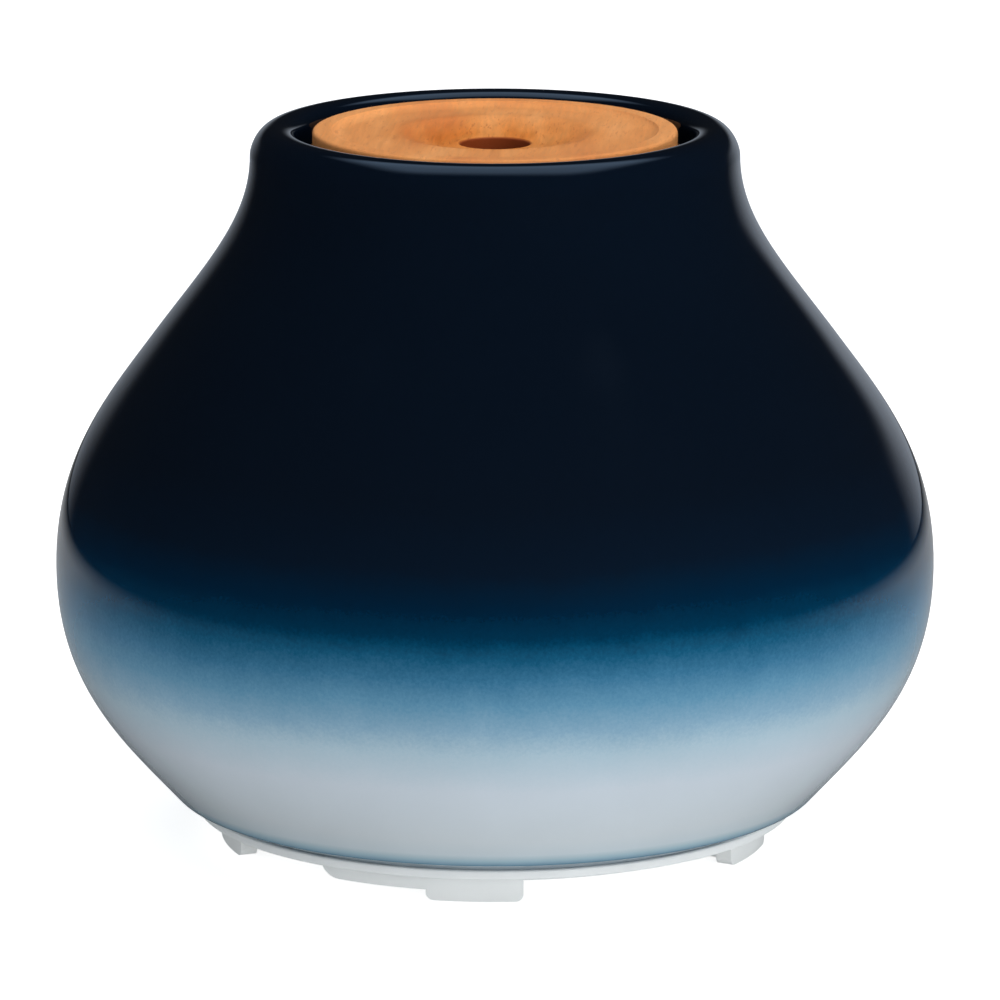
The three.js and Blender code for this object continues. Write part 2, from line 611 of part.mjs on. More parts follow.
// Socket body with a round mouth and a centre pin, facing the rear.
function dcJack() {
  const body = block([-JACK.half, JACK.half], [JACK.from, JACK.face], [JACK.low, JACK.high]);
  const along = (shape) => shape.rotate([-90, 0, 0]).translate([0, 0, JACK.axis]);
  const mouth = along(cylinder(2.9, JACK.face - 9.5, JACK.face + 1));
  const pin = along(cylinder(1, JACK.face - 10, JACK.face - 0.8, [0, 0], 8));
  return joined(cut(body, mouth), pin);
}

// A drum core with a flange at each end of its winding.
const chokeCoil = () =>
  turned([[0, 0], [6, 0], [6, 1.2], [5.2, 1.5], [5.2, 6.3], [6, 6.6], [6, 7.8], [0, 7.8]], SMALL_ROUND);

const capacitor = () =>
  turned([[0, 0], [4.7, 0], [5, 0.4], [5, 1.4], [4.6, 1.8], [5, 2.2], [5, 8.9], [4.6, 9.3], [0, 9.3]], SMALL_ROUND);

function heatSink() {
  const fins = Array.from({ length: 6 }, (_, i) => block([-7.5 + i * 2.8, -6.5 + i * 2.8], [-4, 4], [1, 9]));
  return joined(block([-7.5, 7.5], [-4, 4], [0, 2]), ...fins);
}

function ledBoard() {
  const { inner, outer, low, thick, lamps } = LED_RING;
  const lamp = block([-1.7, 1.7], [-25, -21.6], [low + 0.5, low + thick + 1.3]);
  const each = Array.from({ length: lamps }, (_, i) => turnedTo(lamp, (i * 360) / lamps));
  return joined(ring(inner, outer, low, low + thick, MID_ROUND), ...each);
}

// A round lead along a smooth route.
function lead(points, radius) {
  const route = new THREE.CatmullRomCurve3(points.map((p) => new THREE.Vector3(...p)));
  const section = new THREE.Shape().absarc(0, 0, radius, 0, 2 * Math.PI);
  const options = { steps: 14, curveSegments: 3, extrudePath: route, bevelEnabled: false };
  return solid(new THREE.ExtrudeGeometry(section, options));
}

// ---- Controls ----

// Round cap on a wider collar that stays under the lobe's top.
const buttonCap = () =>
  turned([
    [0, 4.9],
    [5, 4.9],
    [5, 6],
    [BUTTON.r, 6],
    [BUTTON.r, BUTTON.top - 0.5],
    [BUTTON.r - 0.5, BUTTON.top],
    [0, BUTTON.top - 0.3],
  ], 20);

const buttonTray = () => raised(lobeOutline(LOBE.wall + 0.2), LOBE.low + 0.1, LOBE.low + 0.9);

const switchBoard = () =>
  raised(roundedRectangle([LOBE_MIDDLE - 5.4, LOBE_MIDDLE + 5.4], [60, 78.5], 2), 2.6, 3.2, 3);

const tactSwitch = () => joined(block([-2.6, 2.6], [-2.6, 2.6], [0, 0.6]), cylinder(1.6, 0, 0.9));

// ---- Assembly ----

function piece(group, name, shape, material, position = [0, 0, 0], turn = 0) {
  const mesh = new THREE.Mesh(shape.isBufferGeometry ? shape : geometryOf(shape), materials[material]);
  mesh.name = name;
  mesh.position.set(...position);
  mesh.rotation.z = radians(turn);
  group.add(mesh);
}

// The same geometry at several places, numbered from 1.
function copies(group, name, shape, material, places) {
  const geometry = geometryOf(shape);
  places.forEach(([x, y, z], i) => piece(group, `${name}_${i + 1}`, geometry, material, [x, y, z]));
}

function coverGroup() {
  const group = new THREE.Group();
  piece(group, "glazed_cover", glazedCover(), "glaze");
  return group;
}

function lidGroup() {
  const group = new THREE.Group();
  piece(group, "wooden_lid", woodenLid(), "wood");
  piece(group, "lid_gasket", ring(SPIGOT.r + GAP, 33.6, LEDGE_Z + 0.1, LID_UNDER_Z - 0.1), "silicone");
  piece(group, "lid_spigot", lidSpigot(), "whitePlastic");
  const seat = LID_UNDER_Z - GAP - SPIGOT.plate - 0.1;
  const places = LID_SCREWS.map((azimuth) => [...around(azimuth, LID_SCREW_AT), seat]);
  copies(group, "lid_screw", screw(0.95, 6.4, 2.4, 1.3), "steel", places);
  return group;
}

function hoodGroup() {
  const group = new THREE.Group();
  piece(group, "mist_hood", mistHood(), "clearPlastic");
  piece(group, "splash_baffle", splashBaffle(), "whitePlastic");
  return group;
}

function shellGroup() {
  const group = new THREE.Group();
  const feet = Array.from({ length: FEET }, (_, i) => around(i * FOOT_STEP, FOOT_BOSS.at));
  piece(group, "base_housing", baseHousing(), "whitePlastic");
  piece(group, "bottom_cover", bottomCover(), "whitePlastic");
  const cushionTop = COVER_FOOT_Z - 0.1;
  const cushionFoot = FLANGE_TOP_Z - CUSHION.depth + 0.1;
  piece(group, "cover_cushion", ring(CUSHION.inner, CUSHION.outer, cushionFoot, cushionTop, ROUND), "silicone");
  copies(group, "foot_pad", cylinder(PAD.r, 0, PAD.thick), "rubber", feet.map((at) => [...at, 0]));
  const { shank, length, head, headThick } = HOUSING_SCREW;
  const seats = feet.map((at) => [...at, SCREW_SEAT_Z - 0.1]);
  copies(group, "housing_screw", screw(shank, length, head, headThick), "steel", seats);
  piece(group, "water_tank", waterTank(), "clearPlastic");
  return group;
}

function mistMakerGroup() {
  const group = new THREE.Group();
  piece(group, "ultrasonic_disc", cylinder(DISC.r, DISC.low, DISC.high, [0, 0], MID_ROUND), "brass");
  piece(group, "disc_seal", discSeal(), "silicone");
  piece(group, "disc_clamp", discClamp(), "aluminium");
  const ears = EARS.map((azimuth) => [...around(azimuth, EAR_AT), CLAMP.low - 0.1]);
  copies(group, "clamp_screw", screw(0.9, 5.4, 2, 1.2), "steel", ears);
  return group;
}

function fanGroup() {
  const group = new THREE.Group();
  group.position.set(...around(FAN_AZ, FAN_AT), FAN_Z);
  group.rotation.z = radians(FAN_AZ);
  piece(group, "fan_frame", fanFrame(), "blackPlastic");
  piece(group, "fan_rotor", fanRotor(), "blackPlastic");
  return group;
}

function electronicsGroup() {
  const group = new THREE.Group();
  const onBoard = BOARD_TOP_Z + 0.1;
  piece(group, "air_shroud", airShroud(), "whitePlastic");
  piece(group, "main_board", mainBoard(), "boardGreen");
  copies(group, "board_screw", screw(0.85, 6, 2, 1.1).rotate([180, 0, 0]), "steel",
    BOARD_FIXINGS.map((at) => [...at, onBoard]));
  piece(group, "dc_jack", dcJack(), "blackPlastic");
  piece(group, "choke_coil", chokeCoil(), "copper", [-12, 8, onBoard]);
  piece(group, "filter_capacitor", capacitor(), "aluminium", [13, 11, onBoard]);
  piece(group, "driver_heat_sink", heatSink(), "aluminium", [14, -3, onBoard]);
  piece(group, "led_board", ledBoard(), "whiteLamp");
  const [fanX, fanY] = around(FAN_AZ, FAN_AT);
  const fanLead = [[fanX - 13.4, fanY + 6, 11], [-24, -19, 12.4], [-27, -14, 17], [-22, -8, 21], [-18, -4, 17.9]];
  piece(group, "fan_lead", lead(fanLead, 0.8), "blackPlastic");
  const discLead = [[-4, 3, 27.2], [-7, 2, 25.4], [-9, -1, 22], [-7, -4, 19.6], [-5, -5, 17.9]];
  piece(group, "disc_lead", lead(discLead, 0.8), "blackPlastic");
  return group;
}

function controlsGroup() {
  const group = new THREE.Group();
  const sides = [["mist", 1], ["light", -1]];
  for (const [name, side] of sides) {
    const place = (shape) => (side > 0 ? shape : mirrored(shape));
    piece(group, `${name}_button`, buttonCap(), "whitePlastic", [side * LOBE_MIDDLE, BUTTON.at, 0]);
    piece(group, `${name}_tray`, place(buttonTray()), "whitePlastic");
    piece(group, `${name}_switch_board`, place(switchBoard()), "boardGreen");
    piece(group, `${name}_switch`, tactSwitch(), "steel", [side * LOBE_MIDDLE, BUTTON.at, 3.3]);
  }
  return group;
}

const diffuser = new THREE.Group();
diffuser.add(
  coverGroup(),
  lidGroup(),
  hoodGroup(),
  shellGroup(),
  mistMakerGroup(),
  fanGroup(),
  electronicsGroup(),
  controlsGroup(),
);

export default diffuser;
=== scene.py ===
"""Ultrasonic aroma diffuser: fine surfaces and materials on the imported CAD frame.

Outlines are in millimetres, as [radius, height] points, and every mesh is in metres in the row frame.
+Z is up and the front is -Y. An azimuth is in degrees from the front, positive towards +X.
"""

import json
import math

import bmesh
import bpy
from mathutils import Matrix, Vector


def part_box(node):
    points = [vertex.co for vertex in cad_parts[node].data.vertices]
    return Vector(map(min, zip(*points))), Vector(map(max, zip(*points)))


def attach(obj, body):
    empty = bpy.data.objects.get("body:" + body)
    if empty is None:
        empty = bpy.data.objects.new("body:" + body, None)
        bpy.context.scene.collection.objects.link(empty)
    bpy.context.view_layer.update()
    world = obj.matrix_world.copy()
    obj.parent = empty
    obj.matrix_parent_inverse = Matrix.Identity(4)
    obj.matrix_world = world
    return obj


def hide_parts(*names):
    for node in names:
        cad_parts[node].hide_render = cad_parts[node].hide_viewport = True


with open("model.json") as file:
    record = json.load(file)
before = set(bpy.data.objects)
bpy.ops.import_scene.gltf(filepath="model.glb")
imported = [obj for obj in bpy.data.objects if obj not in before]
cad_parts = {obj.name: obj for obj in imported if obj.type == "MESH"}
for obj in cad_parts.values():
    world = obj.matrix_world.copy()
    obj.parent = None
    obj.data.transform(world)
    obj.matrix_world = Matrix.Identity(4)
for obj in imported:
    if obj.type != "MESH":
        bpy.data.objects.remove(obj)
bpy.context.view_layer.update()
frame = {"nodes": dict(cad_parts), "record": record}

MM = 0.001
FINE_ROUND = 256  # sides of the cover and the lid
ROUND = 192  # sides of a large round
SMALL_ROUND = 48  # sides of a small round
SHARP = math.radians(32)  # a corner that turns more than this is an edge
NUDGE = 0.03  # millimetres that keep two faces apart where they would lie in one plane
HAIR = 0.01  # the same, where the faces show


def box_mm(node):
    """The lowest and highest corners of a CAD node, in millimetres."""
    low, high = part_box(node)
    return low / MM, high / MM


# ---- Sizes read from the frame ----

cover_low, cover_high = box_mm("glazed_cover")
BELLY_R = cover_high.x
RIM_Z = cover_high.z
COVER_FOOT_Z = cover_low.z
lid_low, lid_high = box_mm("wooden_lid")
LID_R = lid_high.x
LID_TOP_Z = lid_high.z
LID_FOOT_Z = lid_low.z
MIST_HOLE_R = LID_R * 0.19
skirt_low, skirt_high = box_mm("base_housing")
LOBE_LOW_Z = skirt_low.z
LOBE_END = skirt_high.y
SKIRT_TOP_Z = skirt_high.z
FLANGE_R = -skirt_low.y
under_low, under_high = box_mm("bottom_cover")
FOOT_R = under_high.x
FOOT_LOW_Z = under_low.z
CHANNEL_TOP_Z = under_high.z
_, tank_high = box_mm("water_tank")
TANK_R = tank_high.x
TANK_TOP_Z = tank_high.z
hood_low, hood_high = box_mm("mist_hood")
HOOD_R = hood_high.x
HOOD_LOW_Z = hood_low.z
HOOD_TOP_Z = hood_high.z
tray_low, tray_high = box_mm("mist_tray")
key_low, key_high = box_mm("mist_button")
KEY_X = (key_low.x + key_high.x) / 2
KEY_Y = (key_low.y + key_high.y) / 2
pod_fan_low, pod_fan_high = box_mm("fan_frame")
FAN_X = (pod_fan_low.x + pod_fan_high.x) / 2
FAN_Y = (pod_fan_low.y + pod_fan_high.y) / 2
FAN_AT = math.hypot(FAN_X, FAN_Y)
FAN_AZ = math.degrees(math.atan2(FAN_X, -FAN_Y))

# ---- Sizes that the frame's boxes don't give, in millimetres ----

COVER_WALL = 4.2
BELLY_Z = 54
NECK_R = 47
LIP_R = 42  # the lip's highest round
RECESS_R = 38  # inside of the rolled lip
LEDGE_R = 30
LEDGE_Z = 128.4  # top of the ledge that carries the lid
LEDGE_UNDER_Z = 124.2
COVER_MOUTH_R = 56.4  # inside of the cover's foot

SPIGOT_R = 29.2
SPIGOT_LOW_Z = 122.4
LID_SCREWS = (0, 120, 240)  # azimuths
LID_SCREW_AT = 20

CHIMNEY_R = 10.5
HOOD_WALL = 1.8
BAFFLE_Z = 92
BAFFLE_THICK = 1.4
COLLAR_Z = 101.4
COLLAR_THICK = 1.5
BAFFLE_LEGS = (60, 180, 300)  # azimuths
BAFFLE_LEG_AT = 14

TANK_MOUTH_R = 46.6
TANK_UNDER_Z = 34
TANK_FLOOR_Z = 36.4
WELL_R = 8  # hole in the tank's floor over the ultrasonic disc
WELL_UNDER_Z = 32.2
DUCT_AT = 36.4
DUCT_R = 7.2
DUCT_BORE_R = 5.6

FLANGE_Z = 5.8
FLANGE_TOP_Z = 7.7
SKIRT_R = 53
GROOVE = (54.8, 57.4)  # inside and outside of the flange's groove
GROOVE_DEPTH = 0.5
LOBE_NEAR = 7.5  # side of a lobe beside the cord's way out
LOBE_FAR = 23
LOBE_FROM = 54.6
LOBE_CORNER = 4
LOBE_WALL = 1.4
KEY_R = 4.1

FEET = 5
FOOT_STEP = 360 / FEET
FOOT_SPAN = 20  # degrees of arc
FOOT_WALL = 3.4
FOOT_EDGE = 0.35  # rounding of the feet's and the lobes' edges
PAD_AT = 47.6  # from the middle to a foot's pad and screw
PAD_R = 3.3
PLATE_Z = 4.5
PLATE_TOP_Z = 6.5
PLATE_R = 50.4
POD_Z = 2.3
POD_HALF = 19
POD_WALL = 1.8
CHANNEL_HALF = 6.7
CHANNEL_WALL = 1.4
CHANNEL_FROM = 20
FAN_BORE_R = 11.6
SLOT_WIDTH = 1.7
SLOT_STEP = 3.2
SLOTS_EACH_SIDE = 3
JACK_AXIS_Z = 11


# ---- Outlines ----


def outline(start, *legs, steps=20):
    """A path of points. A leg of two numbers is a line, of four a quadratic curve, of six a cubic one."""
    points = [Vector(start)]
    for leg in legs:
        knots = [points[-1]] + [Vector(leg[i:i + 2]) for i in range(0, len(leg), 2)]
        count = 1 if len(knots) == 2 else steps
        points += [bezier(knots, k / count) for k in range(1, count + 1)]
    if (points[0] - points[-1]).length < 1e-6:
        points.pop()
    return points


def bezier(knots, t):
    while len(knots) > 1:
        knots = [a.lerp(b, t) for a, b in zip(knots, knots[1:])]
    return knots[0]


def softened(points, radius, closed=True, steps=4):
    """The outline with each sharp corner turned into a small arc, or less where its sides are short."""
    result = []
    count = len(points)
    for i, point in enumerate(points):
        if not closed and i in (0, count - 1):
            result.append(point)
            continue
        back = points[i - 1] - point
        on = points[(i + 1) % count] - point
        turn = math.pi - back.angle(on)
        reach = min(radius * math.tan(turn / 2), back.length * 0.45, on.length * 0.45)
        if turn < SHARP:
            result.append(point)
            continue
        knots = [point + back.normalized() * reach, point, point + on.normalized() * reach]
        result += [bezier(knots, k / steps) for k in range(steps + 1)]
    return result


def rounded_rectangle(x0, x1, y0, y1, corner, steps=10):
    points = []
    left, right = x0 + corner, x1 - corner
    front, back = y0 + corner, y1 - corner
    centres = ((right, back), (left, back), (left, front), (right, front))
    for quarter, (x, y) in enumerate(centres):
        for k in range(steps + 1):
            angle = (quarter + k / steps) * math.pi / 2
            points.append(Vector((x + corner * math.cos(angle), y + corner * math.sin(angle))))
    return points


def around(azimuth, radius):
    angle = math.radians(azimuth)
    return Vector((radius * math.sin(angle), -radius * math.cos(angle)))


# ---- Making meshes ----


def object_from(name, bm):
    """A smooth-shaded object from a bmesh in millimetres."""
    bmesh.ops.recalc_face_normals(bm, faces=bm.faces)
    bmesh.ops.scale(bm, vec=(MM, MM, MM), verts=bm.verts)
    mesh = bpy.data.meshes.new(name)
    bm.to_mesh(mesh)
    bm.free()
    mesh.shade_smooth()
    mesh.set_sharp_from_angle(angle=SHARP)
    piece = bpy.data.objects.new(name, mesh)
    bpy.context.scene.collection.objects.link(piece)
    return piece


def turned(name, points, sides=ROUND, middle=(0, 0)):
    """A solid of revolution about an upright axis, from a closed outline or one that ends on the axis."""
    on_axis = points[0].x < 1e-6 and points[-1].x < 1e-6
    bm = bmesh.new()
    rings = []
    for point in points:
        if point.x < 1e-6:
            rings.append([bm.verts.new((middle[0], middle[1], point.y))])
            continue
        ring = []
        for k in range(sides):
            angle = 2 * math.pi * k / sides
            x = middle[0] + point.x * math.cos(angle)
            ring.append(bm.verts.new((x, middle[1] + point.x * math.sin(angle), point.y)))
        rings.append(ring)
    pairs = list(zip(rings, rings[1:]))
    if not on_axis:
        pairs.append((rings[-1], rings[0]))
    for low, high in pairs:
        for k in range(sides):
            after = (k + 1) % sides
            corners = [low[k % len(low)], low[after % len(low)]]
            corners += [high[after % len(high)], high[k % len(high)]]
            bm.faces.new(list(dict.fromkeys(corners)))
    return object_from(name, bm)


def raised(name, points, low, high):
    """An outline in the XY plane, raised from one height to another."""
    bm = bmesh.new()
    bottom = [bm.verts.new((p.x, p.y, low)) for p in points]
    top = [bm.verts.new((p.x, p.y, high)) for p in points]
    bm.faces.new(bottom)
    bm.faces.new(top)
    for k in range(len(points)):
        after = (k + 1) % len(points)
        bm.faces.new((bottom[k], bottom[after], top[after], top[k]))
    return object_from(name, bm)


def block(name, x, y, z):
    """A box from its two ends along each axis."""
    corners = ((x[0], y[0]), (x[1], y[0]), (x[1], y[1]), (x[0], y[1]))
    return raised(name, [Vector(corner) for corner in corners], *z)


def cylinder(name, radius, low, high, middle=(0, 0), sides=SMALL_ROUND):
    points = [Vector((0, low)), Vector((radius, low)), Vector((radius, high)), Vector((0, high))]
    return turned(name, points, sides, middle)


def spun(piece, azimuth):
    """The piece turned about Z, towards +X at the front."""
    piece.data.transform(Matrix.Rotation(math.radians(azimuth), 4, "Z"))
    return piece


def combined(piece, operation, *others):
    """The piece joined with, cut by or kept inside the others, which are used up."""
    for other in others:
        step = piece.modifiers.new("step", "BOOLEAN")
        step.operation = operation
        step.solver = "MANIFOLD"
        step.object = other
    graph = bpy.context.evaluated_depsgraph_get()
    mesh = bpy.data.meshes.new_from_object(piece.evaluated_get(graph))
    # The normals that a bevel hardened don't fit the faces that a cut leaves.
    if "custom_normal" in mesh.attributes:
        mesh.attributes.remove(mesh.attributes["custom_normal"])
    piece.modifiers.clear()
    piece.data = mesh
    for other in others:
        bpy.data.objects.remove(other)
    mesh.shade_smooth()
    mesh.set_sharp_from_angle(angle=SHARP)
    return piece


def joined(piece, *others):
    return combined(piece, "UNION", *others)


def cut(piece, *others):
    return combined(piece, "DIFFERENCE", *others)


def kept_inside(piece, *others):
    return combined(piece, "INTERSECT", *others)


def edged(piece, width=0.3, segments=3):
    """Rounds the piece's sharp edges, by a width in millimetres."""
    bevel = piece.modifiers.new("edges", "BEVEL")
    bevel.width = width * MM
    bevel.segments = segments
    bevel.limit_method = "ANGLE"
    bevel.angle_limit = SHARP
    bevel.harden_normals = True
    return piece


def flattened(piece):
    """Makes the light fall evenly over the piece's flat faces, and keeps its small roundings soft."""
    weighted = piece.modifiers.new("weighted", "WEIGHTED_NORMAL")
    weighted.keep_sharp = True
    return piece


# ---- Materials ----


def linear(red, green, blue):
    """A colour from 0 to 255 as the eye sees it, as the shader's linear colour."""
    def one(value):
        share = value / 255
        return share / 12.92 if share <= 0.04045 else ((share + 0.055) / 1.055) ** 2.4
    return (one(red), one(green), one(blue), 1.0)


class Finish:
    """A material, with short calls for its nodes. Coordinates are the piece's own, in metres."""

    def __init__(self, name, **fixed):
        self.material = bpy.data.materials.new(name)
        self.material.use_nodes = True
        self.tree = self.material.node_tree
        self.shader = self.tree.nodes["Principled BSDF"]
        for socket, value in fixed.items():
            self.shader.inputs[socket.replace("_", " ")].default_value = value
        self.place = self.node("ShaderNodeTexCoord").outputs["Object"]

    def node(self, kind, settings=None, **inputs):
        made = self.tree.nodes.new(kind)
        for key, value in (settings or {}).items():
            setattr(made, key, value)
        for key, value in inputs.items():
            self.feed(made.inputs[key.replace("_", " ")], value)
        return made

    def feed(self, socket, value):
        if isinstance(value, bpy.types.NodeSocket):
            self.tree.links.new(value, socket)
        else:
            socket.default_value = value

    def stretched(self, x, y, z):
        """The coordinates times a scale on each axis."""
        return self.node("ShaderNodeMapping", Vector=self.place, Scale=(x, y, z)).outputs["Vector"]

    def noise(self, scale, detail=4.0, roughness=0.55, where=None):
        made = self.node("ShaderNodeTexNoise", Vector=where or self.place, Scale=scale, Detail=detail,
                         Roughness=roughness)
        return made.outputs["Fac"]

    def ranged(self, value, low, high, to_low=0.0, to_high=1.0):
        made = self.node("ShaderNodeMapRange", Value=value)
        for key, number in zip(("From Min", "From Max", "To Min", "To Max"), (low, high, to_low, to_high)):
            made.inputs[key].default_value = number
        return made.outputs["Result"]

    def height(self):
        return self.node("ShaderNodeSeparateXYZ", Vector=self.place).outputs["Z"]

    def distance(self, where):
        """How far the coordinates are from the origin."""
        made = self.node("ShaderNodeVectorMath", {"operation": "LENGTH"})
        self.feed(made.inputs[0], where)
        return made.outputs["Value"]

    def grey(self, value):
        return self.node("ShaderNodeCombineColor", Red=value, Green=value, Blue=value).outputs["Color"]

    def calculate(self, operation, first, second):
        made = self.node("ShaderNodeMath", {"operation": operation})
        self.feed(made.inputs[0], first)
        self.feed(made.inputs[1], second)
        return made.outputs["Value"]

    def mix(self, share, first, second, blend="MIX"):
        made = self.node("ShaderNodeMix", {"data_type": "RGBA", "blend_type": blend})
        self.feed(made.inputs["Factor"], share)
        self.feed(made.inputs[6], first)
        self.feed(made.inputs[7], second)
        return made.outputs[2]

    def ramp(self, share, stops):
        made = self.node("ShaderNodeValToRGB", Fac=share)
        elements = made.color_ramp.elements
        while len(elements) < len(stops):
            elements.new(0.5)
        for element, (position, colour) in zip(elements, stops):
            element.position = position
            element.color = colour
        return made.outputs["Color"]

    def colour(self, value):
        self.feed(self.shader.inputs["Base Color"], value)
        return self

    def gloss(self, value):
        self.feed(self.shader.inputs["Roughness"], value)
        return self

    def bump(self, *layers):
        """Bumps, each a height from 0 to 1 and what a height of 1 stands for, in millimetres."""
        normal = None
        for height, depth in layers:
            made = self.node("ShaderNodeBump", Height=height, Strength=1.0, Distance=depth * MM)
            if normal:
                self.feed(made.inputs["Normal"], normal)
            normal = made.outputs["Normal"]
        self.feed(self.shader.inputs["Normal"], normal)
        return self


GLAZE_TOP_MM = 100  # above this height the glaze is all navy
GLAZE_STOPS = (  # height in millimetres, and the colour there
    (8, (84, 111, 127)),
    (9.8, (97, 134, 156)),
    (11.0, (154, 180, 192)),
    (12.5, (191, 202, 208)),
    (16, (195, 203, 208)),
    (28, (188, 198, 207)),
    (36, (161, 184, 197)),
    (41, (124, 159, 181)),
    (46, (88, 136, 164)),
    (51, (49, 105, 138)),
    (55, (7, 77, 109)),
    (59, (0, 47, 74)),
    (64, (0, 30, 53)),
    (71, (7, 20, 35)),
    (82, (7, 16, 28)),
    (100, (6, 15, 27)),
)


def glaze():
    """Dark glaze sprayed over a white one: the colour follows the height, with a speckled, cloudy edge."""
    finish = Finish("glaze", Specular_IOR_Level=0.5, IOR=1.5, Coat_Weight=0.35, Coat_Roughness=0.02)
    height = finish.height()
    clouds = finish.ranged(finish.noise(22.0, 3.0), 0.3, 0.7, -0.7 * MM, 0.7 * MM)
    mottle = finish.ranged(finish.noise(190.0, 5.0, 0.6), 0.3, 0.7, -0.5 * MM, 0.5 * MM)
    speckle = finish.ranged(finish.noise(1500.0, 2.0, 0.7), 0.25, 0.75, -1.0 * MM, 1.0 * MM)
    speckle_amount = finish.ranged(height, 12 * MM, 40 * MM)
    shift = finish.calculate("ADD", clouds, mottle)
    shift = finish.calculate("ADD", shift, speckle)
    shift = finish.calculate("MULTIPLY", shift, speckle_amount)
    shifted = finish.calculate("ADD", height, shift)
    share = finish.ranged(shifted, 0.0, GLAZE_TOP_MM * MM)
    stops = [(z / GLAZE_TOP_MM, linear(*colour)) for z, colour in GLAZE_STOPS]
    thickness = finish.grey(finish.ranged(finish.noise(16.0, 3.0), 0.35, 0.65, 0.93, 1.0))
    finish.colour(finish.mix(1.0, finish.ramp(share, stops), thickness, "MULTIPLY"))
    finish.gloss(finish.ranged(finish.noise(300.0, 3.0), 0.3, 0.7, 0.045, 0.075))
    finish.bump((finish.noise(40.0, 2.0), 0.012), (finish.noise(420.0, 2.0), 0.0025))
    return finish.material


def wood():
    """Oiled light hardwood with its grain along Y, lighter towards the rim as a painted highlight, and
    darker on the hole's wall.
    """
    finish = Finish("wood", Specular_IOR_Level=0.25)
    fibres = finish.noise(1.0, 6.0, 0.65, finish.stretched(1300, 90, 1300))
    bands = finish.noise(1.0, 3.0, 0.5, finish.stretched(80, 22, 60))
    flecks = finish.noise(1.0, 2.0, 0.5, finish.stretched(1900, 260, 1900))
    stops = ((0.32, linear(205, 104, 24)), (0.5, linear(226, 136, 58)), (0.7, linear(240, 162, 92)))
    streaks = finish.grey(finish.ranged(fibres, 0.35, 0.65, 0.84, 1.1))
    tone = finish.mix(0.9, finish.ramp(bands, stops), streaks, "MULTIPLY")
    tone = finish.mix(finish.ranged(flecks, 0.6, 0.7, 0.0, 0.6), tone, linear(176, 88, 34))
    out = finish.distance(finish.stretched(1, 1, 0))
    # Painted light: the colour turns paler towards the rim, where the flat top would catch more light than
    # the bowl.
    rim_painted_light = finish.ranged(out, LID_R * 0.3 * MM, LID_R * 0.65 * MM, 0.0, 0.4)
    tone = finish.mix(rim_painted_light, tone, linear(252, 182, 120))
    # Darker towards the mist hole and on its wall.
    in_hole = finish.ranged(out, (MIST_HOLE_R + 0.5) * MM, (MIST_HOLE_R + 0.05) * MM)
    finish.colour(finish.mix(in_hole, tone, linear(140, 62, 24)))
    finish.gloss(finish.ranged(fibres, 0.3, 0.7, 0.42, 0.6))
    finish.bump((fibres, 0.03), (flecks, 0.02))
    return finish.material


def moulded(name, colour, roughness, grain=2600.0, depth=0.006, mottle=0.05, **fixed):
    """A moulded surface: spark-eroded grain, faint clouding of its colour and uneven gloss."""
    finish = Finish(name, **fixed)
    clouds = finish.noise(90.0, 4.0)
    darker = linear(*[part * (1 - mottle) for part in colour])
    lighter = linear(*[min(255, part * (1 + mottle)) for part in colour])
    finish.colour(finish.mix(finish.ranged(clouds, 0.3, 0.7), darker, lighter))
    roughest = min(1.0, roughness * 1.15)
    finish.gloss(finish.ranged(finish.noise(400.0, 3.0), 0.3, 0.7, roughness * 0.85, roughest))
    finish.bump((finish.noise(grain, 3.0), depth), (clouds, depth * 1.5))
    return finish.material


def metal(name, colour, roughness, stretch=(60, 60, 2400)):
    """A drawn or turned metal, brushed along one way, with faint stains."""
    finish = Finish(name, Metallic=1.0)
    brushed = finish.noise(1.0, 4.0, 0.6, finish.stretched(*stretch))
    stains = finish.noise(160.0, 4.0)
    darker = linear(*[part * 0.82 for part in colour])
    finish.colour(finish.mix(finish.ranged(stains, 0.35, 0.7), linear(*colour), darker))
    finish.gloss(finish.ranged(brushed, 0.3, 0.7, roughness * 0.7, roughness * 1.3))
    finish.bump((brushed, 0.01))
    return finish.material


def circuit_board():
    """Green solder mask over copper tracks, with solder pads."""
    finish = Finish("board", Specular_IOR_Level=0.5)
    tracks = finish.node("ShaderNodeTexBrick", Vector=finish.place, Scale=260.0, Mortar_Size=0.06,
                         Color1=linear(24, 92, 52), Color2=linear(20, 84, 48), Mortar=linear(58, 132, 76))
    pads = finish.node("ShaderNodeTexVoronoi", Vector=finish.place, Scale=330.0).outputs["Distance"]
    pad_share = finish.ranged(pads, 0.16, 0.12)
    finish.colour(finish.mix(pad_share, tracks.outputs["Color"], linear(196, 198, 192)))
    finish.gloss(finish.ranged(finish.noise(500.0), 0.3, 0.7, 0.3, 0.42))
    finish.bump((tracks.outputs["Fac"], 0.03), (pad_share, 0.04))
    return finish.material


def windings():
    """Turns of enamelled copper wire round an upright axis."""
    finish = Finish("copper", Metallic=1.0)
    turns = finish.node("ShaderNodeTexWave", {"bands_direction": "Z"}, Vector=finish.place, Scale=700.0,
                        Distortion=0.4).outputs["Fac"]
    # Painted light and shade: each turn is lighter on its crest and darker in the groove between turns.
    finish.colour(finish.mix(turns, linear(120, 58, 26), linear(214, 128, 74)))
    finish.gloss(finish.ranged(finish.noise(300.0), 0.3, 0.7, 0.25, 0.4))
    finish.bump((turns, 0.12))
    return finish.material


